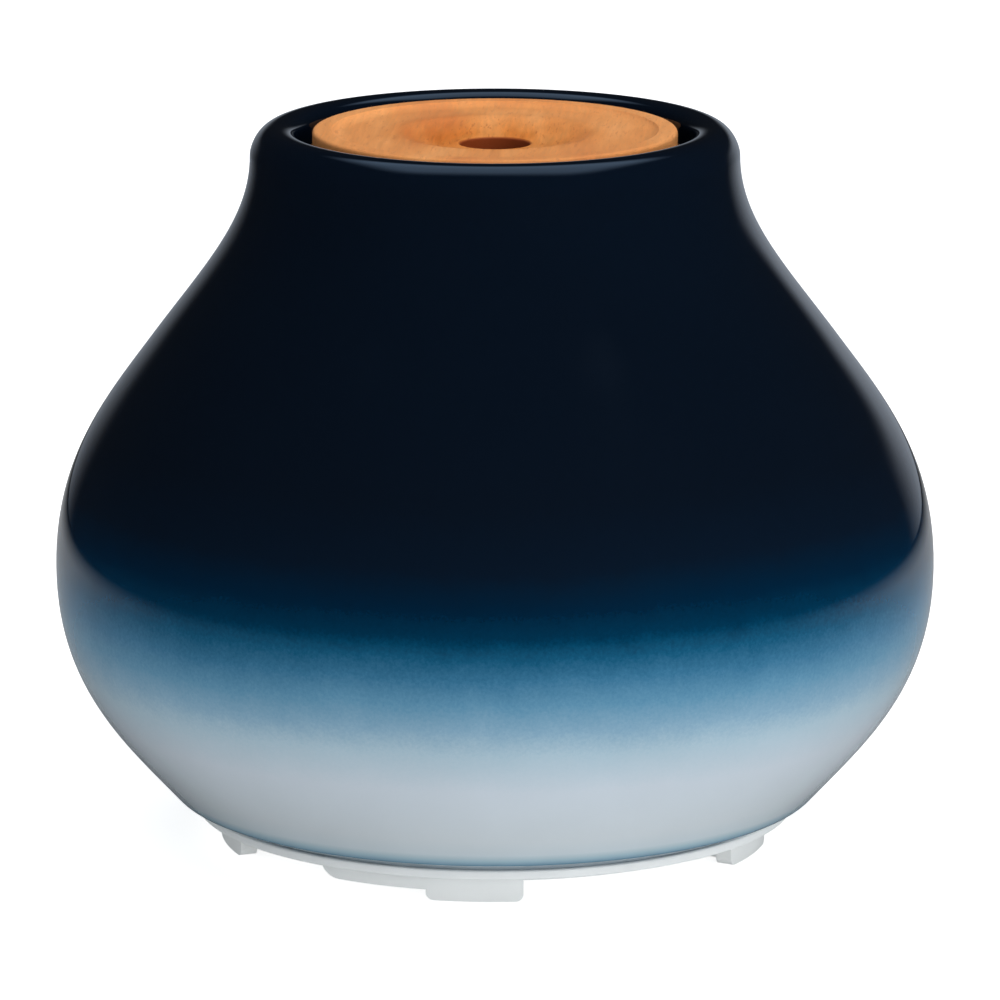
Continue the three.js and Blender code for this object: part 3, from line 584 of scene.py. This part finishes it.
materials = {
    "glaze": glaze(),
    "wood": wood(),
    "white_plastic": moulded("white_plastic", (236, 239, 239), 0.4, mottle=0.012,
                             Specular_IOR_Level=0.45),
    "frosted_plastic": moulded("frosted_plastic", (228, 233, 236), 0.3, 1500.0, 0.004, 0.015,
                               Subsurface_Weight=0.15, Subsurface_Scale=0.002),
    "silicone": moulded("silicone", (158, 170, 178), 0.55, grain=1800.0, depth=0.01),
    "pad_rubber": moulded("pad_rubber", (150, 152, 154), 0.75, grain=1600.0, depth=0.02),
    "steel": metal("steel", (196, 198, 202), 0.28),
    "brass": metal("brass", (214, 186, 116), 0.3, (900, 60, 60)),
    "aluminium": metal("aluminium", (186, 188, 192), 0.38, (60, 1400, 60)),
    "board": circuit_board(),
    "black_plastic": moulded("black_plastic", (30, 31, 33), 0.42, mottle=0.15),
    "copper": windings(),
    "lamp": moulded("lamp", (240, 238, 226), 0.28),
}


def place(piece, body, slot, *nodes):
    """Gives a piece its finish, its body and the CAD nodes it stands for."""
    piece.data.materials.clear()
    piece.data.materials.append(materials[slot])
    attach(piece, body)
    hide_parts(*nodes)
    return piece


# ---- Cover and lid ----


def cover():
    inner_r = BELLY_R - COVER_WALL
    points = outline(
        (LIP_R, RIM_Z),
        (45.5, RIM_Z, NECK_R, 135.5, NECK_R, 134),
        (NECK_R, 121, 56.5, 111.2, 66.6, 97.5),
        (76, 84.8, BELLY_R, 74, BELLY_R, BELLY_Z),
        (BELLY_R, 32.3, 74, 22.5, 63.2, 10.5),
        (62.2, COVER_FOOT_Z, 61, COVER_FOOT_Z),
        (COVER_MOUTH_R, COVER_FOOT_Z),
        (COVER_MOUTH_R, 10.8),
        (60, 13.4),
        (70.6, 25, inner_r, 34.5, inner_r, BELLY_Z),
        (inner_r, 72.5, 72.4, 82.6, 63.2, 95),
        (53, 108.8, 42.8, 116, 42.8, 121.4),
        (42.8, LEDGE_UNDER_Z, 40, LEDGE_UNDER_Z),
        (LEDGE_R, LEDGE_UNDER_Z),
        (LEDGE_R, LEDGE_Z),
        (RECESS_R - 0.8, LEDGE_Z),
        (RECESS_R, LEDGE_Z + 0.8),
        (RECESS_R, 136.4),
        (RECESS_R, 138.5, 39.2, RIM_Z, LIP_R, RIM_Z),
        steps=28,
    )
    shell = turned("ceramic_cover", softened(points, 0.6), FINE_ROUND)
    place(shell, "cover", "glaze", "glazed_cover")


def lid():
    """A disc with a raised rim and a shallow bowl down to the mist hole."""
    top = LID_TOP_Z
    points = outline(
        (LID_R - 0.8, LID_FOOT_Z),
        (LID_R, LID_FOOT_Z + 0.8),
        (LID_R, top - 0.9),
        (LID_R, top, LID_R - 1, top),
        (31.4, top),
        (30.6, top - 0.9, 28.6, top - 1),
        (19.6, top - 0.7),
        (18.6, top - 0.7, 17.4, top - 1.1),
        (12.5, top - 2.5, MIST_HOLE_R + 0.4, top - 2.8),
        (MIST_HOLE_R, top - 3.1),
        (MIST_HOLE_R, LID_FOOT_Z),
        steps=12,
    )
    wooden_disc = turned("turned_wooden_lid", softened(points, 0.35), FINE_ROUND)
    place(wooden_disc, "lid", "wood", "wooden_lid")


def lid_gasket():
    """A ring with a shallow groove round its outside."""
    low, high = box_mm("lid_gasket")
    middle = (low.z + high.z) / 2
    points = outline((29.5, low.z), (33.6, low.z), (33.2, middle), (33.6, high.z), (29.5, high.z))
    place(turned("lid_seal_ring", softened(points, 0.4)), "lid", "silicone", "lid_gasket")


def lid_spigot():
    """The ring that centres the lid in the cover, with its plate and screw holes."""
    top = LID_FOOT_Z - 0.3
    under = top - 1.8
    points = outline(
        (8.4, top),
        (8.4, under),
        (SPIGOT_R - 2, under),
        (SPIGOT_R - 2, SPIGOT_LOW_Z),
        (SPIGOT_R - 0.8, SPIGOT_LOW_Z),
        (SPIGOT_R, SPIGOT_LOW_Z + 1.2),
        (SPIGOT_R, top),
    )
    holes = []
    spigot = turned("lid_locating_ring", softened(points, 0.3))
    for azimuth in LID_SCREWS:
        holes.append(cylinder("hole", 1.5, top - 4, top + 1, around(azimuth, LID_SCREW_AT), 24))
    place(cut(spigot, *holes), "lid", "white_plastic", "lid_spigot")


# ---- Hood and tank ----


def mist_hood():
    """A dome with a chimney, and a skirt inside the tank's mouth."""
    foot_z = TANK_TOP_Z + 0.2
    chimney_bore = CHIMNEY_R - HOOD_WALL
    points = outline(
        (CHIMNEY_R, HOOD_TOP_Z),
        (CHIMNEY_R, 111),
        (CHIMNEY_R, 108, 14, 106.6),
        (33, 102.5, 47.5, 99, 49, 89.4),
        (HOOD_R, 87.6),
        (HOOD_R, foot_z),
        (TANK_MOUTH_R - 0.5, foot_z),
        (TANK_MOUTH_R - 0.9, HOOD_LOW_Z),
        (TANK_MOUTH_R - 2.7, HOOD_LOW_Z),
        (TANK_MOUTH_R - 2.3, TANK_TOP_Z + 2.2),
        (44, 97.4, 31.6, 100.6, 13.4, 104.6),
        (chimney_bore, 106, chimney_bore, 111),
        (chimney_bore, HOOD_TOP_Z),
        steps=16,
    )
    place(turned("mist_dome", softened(points, 0.5)), "hood", "frosted_plastic", "mist_hood")


def splash_baffle():
    """A plate that hangs on three legs from a collar in the dome."""
    plate_top = BAFFLE_Z + BAFFLE_THICK
    collar_top = COLLAR_Z + COLLAR_THICK
    legs = []
    for azimuth in BAFFLE_LEGS:
        at = around(azimuth, BAFFLE_LEG_AT)
        legs.append(cylinder("leg", 1.5, BAFFLE_Z + 1, collar_top - 0.3, at, 24))
    plate = outline((0, BAFFLE_Z), (15.4, BAFFLE_Z), (15.4, plate_top), (0, plate_top))
    collar = outline((12.4, COLLAR_Z), (15.6, COLLAR_Z), (15.6, collar_top), (12.4, collar_top))
    baffle = turned("baffle_plate", softened(plate, 0.4, closed=False))
    baffle = joined(baffle, turned("collar", softened(collar, 0.3)), *legs)
    place(baffle, "hood", "white_plastic", "splash_baffle")


def water_tank():
    """A bowl with a fill line inside, a well for the disc and an air duct up through the water."""
    points = outline(
        (WELL_R, WELL_UNDER_Z),
        (13, WELL_UNDER_Z),
        (13, TANK_UNDER_Z),
        (36, TANK_UNDER_Z),
        (46.4, TANK_UNDER_Z, 47, 45),
        (48.6, TANK_TOP_Z - 3.2),
        (TANK_R, TANK_TOP_Z - 3.2),
        (TANK_R, TANK_TOP_Z),
        (TANK_MOUTH_R, TANK_TOP_Z),
        (46, 72.4),
        (45.6, 72),
        (45.6, 71.4),
        (45.95, 71),
        (45, 46),
        (44.5, TANK_FLOOR_Z, 35, TANK_FLOOR_Z),
        (11, 35.4),
        (WELL_R, 34.4),
        steps=16,
    )
    duct_at = around(FAN_AZ, DUCT_AT)
    duct = outline((DUCT_BORE_R, 30), (DUCT_R, 30), (DUCT_R, 79), (DUCT_BORE_R, 79))
    bore = cylinder("bore", DUCT_BORE_R, 29, 40, duct_at)
    bowl = turned("tank_bowl", softened(points, 0.4))
    bowl = joined(bowl, turned("duct", softened(duct, 0.5), SMALL_ROUND, duct_at))
    place(cut(bowl, bore), "base", "frosted_plastic", "water_tank")


def disc_seal():
    """A ring whose inner groove holds the disc's edge."""
    low, high = 29.7, 32
    groove_low, groove_high = 30.3, 31.5
    points = outline(
        (8.2, low),
        (12, low),
        (12, high),
        (8.2, high),
        (8.2, groove_high),
        (10.2, groove_high),
        (10.2, groove_low),
        (8.2, groove_low),
    )
    place(turned("disc_grommet", softened(points, 0.2), 96), "base", "silicone", "disc_seal")


def ultrasonic_disc():
    """A thin disc with a raised band round its top."""
    low, face, band = 30.5, 31.2, 31.3
    points = outline((0, low), (9.8, low), (9.8, band), (6.4, band), (6.2, face), (0, face))
    points = softened(points, 0.1, closed=False)
    place(turned("vibrating_disc", points, 96), "base", "brass", "ultrasonic_disc")


# ---- Base ----


def lobe_outline(side, inset=0.0):
    left, right = sorted((side * (LOBE_NEAR + inset), side * (LOBE_FAR - inset)))
    return rounded_rectangle(left, right, LOBE_FROM + inset, LOBE_END - inset, LOBE_CORNER - inset)


def housing():
    """A skirt and flange in one, with a groove for the cushion and two hollow lobes behind."""
    groove_z = FLANGE_TOP_Z - GROOVE_DEPTH
    shell = outline(
        (50.8, FLANGE_Z),
        (FLANGE_R - 0.7, FLANGE_Z),
        (FLANGE_R, FLANGE_Z, FLANGE_R, FLANGE_Z + 0.7),
        (FLANGE_R, FLANGE_TOP_Z - 0.6),
        (FLANGE_R, FLANGE_TOP_Z, FLANGE_R - 0.6, FLANGE_TOP_Z),
        (GROOVE[1], FLANGE_TOP_Z),
        (GROOVE[1], groove_z),
        (GROOVE[0], groove_z),
        (GROOVE[0], FLANGE_TOP_Z),
        (SKIRT_R, FLANGE_TOP_Z),
        (51.2, SKIRT_TOP_Z),
        (49.2, SKIRT_TOP_Z),
        steps=6,
    )
    body = turned("base_shell", softened(shell, 0.25))
    lobes = []
    rooms = []
    for side in (1, -1):
        ends = sorted((side * (LOBE_NEAR + NUDGE), side * (LOBE_FAR - NUDGE)))
        lobe = raised("lobe", lobe_outline(side), LOBE_LOW_Z, FLANGE_TOP_Z - HAIR)
        room = lobe_outline(side, LOBE_WALL)
        lobes.append(edged(lobe, FOOT_EDGE))
        lobes.append(block("root", ends, (53.5, 59), (FLANGE_Z + HAIR, FLANGE_TOP_Z - 2 * HAIR)))
        rooms.append(raised("room", room, LOBE_LOW_Z - 1, FLANGE_TOP_Z - LOBE_WALL))
        rooms.append(cylinder("way", KEY_R + 0.2, FLANGE_Z, FLANGE_TOP_Z + 1, (side * KEY_X, KEY_Y)))
    groove = outline((GROOVE[0], groove_z), (GROOVE[1], groove_z), (GROOVE[1], 9), (GROOVE[0], 9))
    body = joined(body, *lobes)
    body = cut(body, turned("groove", groove), *rooms)
    place(flattened(body), "base", "white_plastic", "base_housing")


def arched_rib(name, inner, outer, span, low, high, corner, columns=48):
    """A short stretch of a ring, centred on the front, with its two lower corners rounded."""
    half = math.radians(span / 2) * outer
    bm = bmesh.new()
    rows = []
    for k in range(columns + 1):
        along = -half * math.cos(math.pi * k / columns)
        over = max(0.0, abs(along) - (half - corner))
        foot = low + corner - math.sqrt(max(0.0, corner * corner - over * over))
        azimuth = math.degrees(along / outer)
        near = around(azimuth, outer)
        far = around(azimuth, inner)
        corners = ((near, foot), (far, foot), (far, high), (near, high))
        rows.append([bm.verts.new((p.x, p.y, z)) for p, z in corners])
    for row, after in zip(rows, rows[1:]):
        for k in range(4):
            turn = (k + 1) % 4
            bm.faces.new((row[k], row[turn], after[turn], after[k]))
    bm.faces.new(rows[0])
    bm.faces.new(rows[-1])
    return object_from(name, bm)


def pod(name, inset, low, high, corner):
    """The fan's pod, or the room in it: a rounded tray with its two front lower corners swept up."""
    half = POD_HALF - inset
    body = raised(name, rounded_rectangle(-half, half, -62, -8 - inset, 8 - inset), low - 1, high)
    sweep = rounded_rectangle(-half - NUDGE, half + NUDGE, low, high + 12, corner)
    bm = bmesh.new()
    ends = [[bm.verts.new((p.x, y, p.y)) for p in sweep] for y in (-64, 0)]
    for k in range(len(sweep)):
        after = (k + 1) % len(sweep)
        bm.faces.new((ends[0][k], ends[0][after], ends[1][after], ends[1][k]))
    for end in ends:
        bm.faces.new(end)
    body = spun(kept_inside(body, object_from("sweep", bm)), FAN_AZ)
    return kept_inside(body, cylinder("edge", FOOT_R - inset - NUDGE, low - 1, high + 1, sides=ROUND))


def foot(azimuth, high):
    """A foot's wall and the round boss behind it."""
    inner = FOOT_R - FOOT_WALL
    wall = arched_rib("foot", inner, FOOT_R - NUDGE, FOOT_SPAN, FOOT_LOW_Z, high, 1.5)
    boss = cylinder("boss", 4, FOOT_LOW_Z + NUDGE, high, around(azimuth, PAD_AT))
    return [spun(edged(wall, FOOT_EDGE), azimuth), boss]


def screw_way(azimuth):
    """What a foot's screw and pad need cut out: a wide well and a shank's hole above it."""
    over = PLATE_TOP_Z + 1
    points = outline((0, -1), (3.4, -1), (3.4, 3.4), (1.6, 3.4), (1.6, over), (0, over))
    return turned("way", points, SMALL_ROUND, around(azimuth, PAD_AT))


def air_slots():
    """The cuts through the pod's floor, each as long as the fan's bore is wide there."""
    slots = []
    for k in range(-SLOTS_EACH_SIDE, SLOTS_EACH_SIDE + 1):
        across = SLOT_STEP * k
        left, right = across - SLOT_WIDTH / 2, across + SLOT_WIDTH / 2
        half = math.sqrt(FAN_BORE_R ** 2 - across ** 2) - 0.5
        slot = rounded_rectangle(left, right, -FAN_AT - half, -FAN_AT + half, 0.8, 5)
        slots.append(spun(raised("slot", slot, POD_Z - 1, POD_Z + POD_WALL + 1), FAN_AZ))
    return slots


def bottom():
    """The plate with its feet, the fan's pod, and the channel and pocket that the plug goes in by."""
    foot_top = FLANGE_Z - 0.2
    root = (PLATE_Z + foot_top) / 2
    plate = outline(
        (0, PLATE_Z),
        (FOOT_R, PLATE_Z),
        (FOOT_R, foot_top),
        (PLATE_R, foot_top),
        (PLATE_R, PLATE_TOP_Z),
        (0, PLATE_TOP_Z),
    )
    body = turned("bottom_plate", plate)
    feet = []
    ways = []
    for k in range(FEET):
        feet += foot(k * FOOT_STEP, root)
        ways.append(screw_way(k * FOOT_STEP))
    outer_half = CHANNEL_HALF + CHANNEL_WALL
    channel = block("channel", (-outer_half, outer_half), (CHANNEL_FROM - CHANNEL_WALL, 49),
                    (PLATE_Z + HAIR, CHANNEL_TOP_Z))
    pocket = block("pocket", (-CHANNEL_HALF, CHANNEL_HALF), (CHANNEL_FROM, 60),
                   (0, CHANNEL_TOP_Z - CHANNEL_WALL))
    jack_low, jack_high = box_mm("dc_jack")
    socket = block("socket", (jack_low.x - 0.3, jack_high.x + 0.3), (4, CHANNEL_FROM + 1),
                   (PLATE_TOP_Z + NUDGE, jack_high.z + 0.3))
    room = pod("pod_room", POD_WALL, POD_Z + POD_WALL, PLATE_TOP_Z + 1, 2.6)
    room = cut(room, cylinder("boss_room", 4.6, 0, PLATE_TOP_Z + 2, around(0, PAD_AT)))
    body = joined(body, *feet, pod("pod", 0, POD_Z, PLATE_TOP_Z - 0.5, 4.2), channel)
    body = cut(body, room, pocket, socket, *ways, *air_slots())
    place(flattened(body), "base", "white_plastic", "bottom_cover")


def cushion():
    low, high = box_mm("cover_cushion")
    inner, outer = GROOVE[0] + 0.2, GROOVE[1] - 0.2
    points = outline((inner, low.z), (outer, low.z), (outer, high.z), (inner, high.z))
    place(turned("cushion_ring", softened(points, 0.5)), "base", "silicone", "cover_cushion")


def foot_pads():
    for k in range(FEET):
        node = f"foot_pad_{k + 1}"
        low, high = box_mm(node)
        points = outline(
            (0, low.z),
            (PAD_R - 0.6, low.z),
            (PAD_R, low.z, PAD_R, low.z + 0.5),
            (PAD_R, high.z),
            (0, high.z),
            steps=6,
        )
        points = softened(points, 0.2, closed=False)
        pad = turned(f"rubber_foot_{k + 1}", points, SMALL_ROUND, around(k * FOOT_STEP, PAD_AT))
        place(pad, "base", "pad_rubber", node)


def along_jack(name, points):
    """A solid turned about the jack's own axis, from an outline of radius and distance along it."""
    part = turned(name, points, SMALL_ROUND)
    turn = Matrix.Rotation(math.radians(-90), 4, "X")
    part.data.transform(Matrix.Translation((0, 0, JACK_AXIS_Z * MM)) @ turn)
    return part


def power_socket():
    low, high = box_mm("dc_jack")
    face = high.y
    start = face - 9.5
    pin_end = face - 0.8
    mouth = outline((0, start), (2.9, start), (2.9, face - 0.6), (3.3, face + 0.1), (0, face + 0.1))
    pin = outline((0, start - 0.5), (1, start - 0.5), (1, pin_end - 0.6), (0.4, pin_end), (0, pin_end))
    body = edged(block("socket_body", (low.x, high.x), (low.y, high.y), (low.z, high.z)), 0.3)
    body = joined(cut(body, along_jack("mouth", mouth)), along_jack("pin", pin))
    place(body, "base", "black_plastic", "dc_jack")


def button(name, side):
    """A dished cap on a wider collar, and the tray under its switch."""
    low, high = box_mm(f"{name}_button")
    points = outline(
        (0, low.z),
        (5, low.z),
        (5, 6),
        (KEY_R, 6),
        (KEY_R, high.z - 0.5),
        (KEY_R, high.z, KEY_R - 0.5, high.z),
        (2.2, high.z - 0.05),
        (1.2, high.z - 0.35, 0, high.z - 0.35),
        steps=8,
    )
    cap = turned(f"{name}_cap", softened(points, 0.15, closed=False), 96, (side * KEY_X, KEY_Y))
    place(cap, f"{name}_key", "white_plastic", f"{name}_button")
    tray = raised(f"{name}_floor", lobe_outline(side, LOBE_WALL + 0.2), tray_low.z, tray_high.z)
    place(edged(tray, 0.15), "base", "white_plastic", f"{name}_tray")


def carried_over_nodes():
    """The CAD nodes that stay get their finish and softened edges."""
    slots = {entry["node"]: entry["material_slot"] for entry in frame["record"]["subparts"]}
    for node, piece in frame["nodes"].items():
        if piece.hide_render:
            continue
        piece.data.materials.clear()
        piece.data.materials.append(materials[slots[node]])
        edged(piece, 0.12, 2)


cover()
lid()
lid_gasket()
lid_spigot()
mist_hood()
splash_baffle()
water_tank()
disc_seal()
ultrasonic_disc()
housing()
bottom()
cushion()
foot_pads()
power_socket()
button("mist", 1)
button("light", -1)
carried_over_nodes()

# ---- Floor, light and camera ----

TARGET = Vector((0, 0, 65.94)) * MM
CAMERA_AWAY = 1.44  # metres
CAMERA_AZIMUTH = 4.2
CAMERA_ELEVATION = 12.78
LENS = 267.7
FRAME_SHIFT = 0.005
FLOOR_R = 6.0
FLOOR_GLOW = 0.2  # of the floor, as it lights the diffuser
SEEN_GLOW = 0.7  # of the floor, as the camera sees it
AMBIENT = 0.5
TOP_BOX = 0.8
BACK_WALL = 0.32
TABLE_R = 0.55
TABLE_FADE = (0.36, 0.52)  # where the mirrored table starts and ends its fall into the dark
TABLE_FRONT = (0.1, 0.115, 0.13, 1)
TABLE_BACK = (0.42, 0.43, 0.44, 1)


def disc(name, radius, height, finish, *seen):
    """A flat disc on the floor, shown only to the named kinds of ray."""
    bm = bmesh.new()
    bmesh.ops.create_circle(bm, cap_ends=True, segments=256, radius=radius)
    bmesh.ops.translate(bm, verts=bm.verts, vec=(0, 0, height))
    mesh = bpy.data.meshes.new(name)
    bm.to_mesh(mesh)
    bm.free()
    mesh.materials.append(finish.material)
    ground = bpy.data.objects.new(name, mesh)
    bpy.context.scene.collection.objects.link(ground)
    for ray in ("camera", "diffuse", "glossy", "transmission", "shadow"):
        setattr(ground, "visible_" + ray, ray in seen)


def paper(name, glow):
    """White paper with a light table's glow."""
    finish = Finish(name, Emission_Color=(1, 1, 1, 1), Emission_Strength=glow, Specular_IOR_Level=0.0)
    finish.colour(finish.mix(finish.noise(3.0), (0.88, 0.88, 0.88, 1), (0.91, 0.91, 0.91, 1)))
    finish.gloss(finish.ranged(finish.noise(9.0), 0.0, 1.0, 0.85, 0.95))
    return finish


def mirrored_table():
    """What gloss sees of the floor: a dim round of it that fades into the dark room."""
    finish = Finish("mirrored_table", Specular_IOR_Level=0.0)
    beyond = finish.ranged(finish.distance(finish.place), *TABLE_FADE)
    back = finish.node("ShaderNodeSeparateXYZ", Vector=finish.place).outputs["Y"]
    lit = finish.mix(finish.ranged(back, -0.1, 0.2), TABLE_FRONT, TABLE_BACK)
    finish.colour(finish.mix(beyond, lit, (0.01, 0.01, 0.01, 1)))
    finish.gloss(finish.ranged(finish.noise(9.0), 0.0, 1.0, 0.85, 0.95))
    return finish


def area_light(name, at, size, radiance):
    """A soft box of a size in metres that faces the diffuser and doesn't show in its gloss."""
    lamp = bpy.data.lights.new(name, "AREA")
    lamp.shape = "RECTANGLE"
    lamp.size, lamp.size_y = size
    lamp.energy = radiance * math.pi * size[0] * size[1]
    holder = bpy.data.objects.new(name, lamp)
    holder.location = at
    holder.rotation_euler = (TARGET - Vector(at)).to_track_quat("-Z", "Y").to_euler()
    holder.visible_camera = False
    holder.visible_glossy = False
    bpy.context.scene.collection.objects.link(holder)


def surroundings():
    """A pale room, which gloss sees as a dark one with a soft box overhead and a dim wall behind."""
    world = bpy.data.worlds.new("studio")
    world.use_nodes = True
    tree = world.node_tree
    tree.nodes.clear()

    def node(kind, **settings):
        made = tree.nodes.new(kind)
        for key, value in settings.items():
            setattr(made, key, value)
        return made

    def feed(socket, value):
        if isinstance(value, bpy.types.NodeSocket):
            tree.links.new(value, socket)
        else:
            socket.default_value = value

    def calculate(operation, *values):
        made = node("ShaderNodeMath", operation=operation)
        for socket, value in zip(made.inputs, values):
            feed(socket, value)
        return made.outputs[0]

    def faded(value, none, full):
        """0 where the value is at none, 1 at full, and a smooth change between them."""
        made = node("ShaderNodeMapRange", interpolation_type="SMOOTHSTEP")
        feed(made.inputs["Value"], value)
        made.inputs["From Min"].default_value = none
        made.inputs["From Max"].default_value = full
        return made.outputs["Result"]

    def shade(colour, strength):
        made = node("ShaderNodeBackground")
        made.inputs["Color"].default_value = (*colour, 1)
        feed(made.inputs["Strength"], strength)
        return made.outputs["Background"]

    def added(first, second):
        made = node("ShaderNodeAddShader")
        feed(made.inputs[0], first)
        feed(made.inputs[1], second)
        return made.outputs[0]

    def chosen(share, first, second):
        made = node("ShaderNodeMixShader")
        feed(made.inputs[0], share)
        feed(made.inputs[1], first)
        feed(made.inputs[2], second)
        return made.outputs[0]

    split = node("ShaderNodeSeparateXYZ")
    feed(split.inputs[0], node("ShaderNodeTexCoord").outputs["Generated"])
    across, back, up = split.outputs
    above = calculate("MAXIMUM", up, 0.01)
    side = calculate("ABSOLUTE", calculate("DIVIDE", across, above))
    depth = calculate("DIVIDE", back, above)
    box = calculate("MULTIPLY", faded(side, 0.72, 0.35), faded(depth, -0.42, 0.05))
    box = calculate("MULTIPLY", box, faded(depth, 1.1, 0.6))
    wall = calculate("MULTIPLY", faded(back, 0.78, 1.0), calculate("MULTIPLY_ADD", across, 0.7, 1.0))
    wall = calculate("MULTIPLY", wall, faded(up, 0.16, 0.02))
    reflected = added(shade((1, 1, 1), 0.008), shade((0.62, 0.9, 1.3), calculate("MULTIPLY", box, TOP_BOX)))
    reflected = added(reflected, shade((0.85, 0.95, 1.1), calculate("MULTIPLY", wall, BACK_WALL)))
    path = node("ShaderNodeLightPath")
    seen = chosen(path.outputs["Is Glossy Ray"], shade((0.96, 0.98, 1), AMBIENT), reflected)
    seen = chosen(path.outputs["Is Camera Ray"], seen, shade((1, 1, 1), 1.0))
    output = node("ShaderNodeOutputWorld")
    feed(output.inputs["Surface"], seen)
    bpy.context.scene.world = world


def camera():
    lens = bpy.data.cameras.new("camera")
    lens.lens = LENS
    lens.sensor_width = 36
    lens.shift_x = FRAME_SHIFT
    holder = bpy.data.objects.new("camera", lens)
    elevation = math.radians(CAMERA_ELEVATION)
    out = around(CAMERA_AZIMUTH, CAMERA_AWAY * math.cos(elevation))
    holder.location = TARGET + Vector((out.x, out.y, CAMERA_AWAY * math.sin(elevation)))
    holder.rotation_euler = (TARGET - holder.location).to_track_quat("-Z", "Y").to_euler()
    bpy.context.scene.collection.objects.link(holder)
    bpy.context.scene.camera = holder


seen_paper = paper("floor_paper", SEEN_GLOW)
lighting_paper = paper("bounce_paper", FLOOR_GLOW)
disc("floor_paper", FLOOR_R, 0.0, seen_paper, "camera")
disc("bounce_paper", FLOOR_R, -0.0001, lighting_paper, "diffuse", "transmission", "shadow")
disc("mirrored_table", TABLE_R, 0.00005, mirrored_table(), "glossy")
surroundings()
area_light("key", (0.75, -0.35, 1.6), (1.0, 1.0), 4.8)
area_light("front_fill", (0.85, -1.4, 0.3), (1.2, 0.6), 3.9)
camera()
bpy.context.scene.view_settings.view_transform = "Standard"
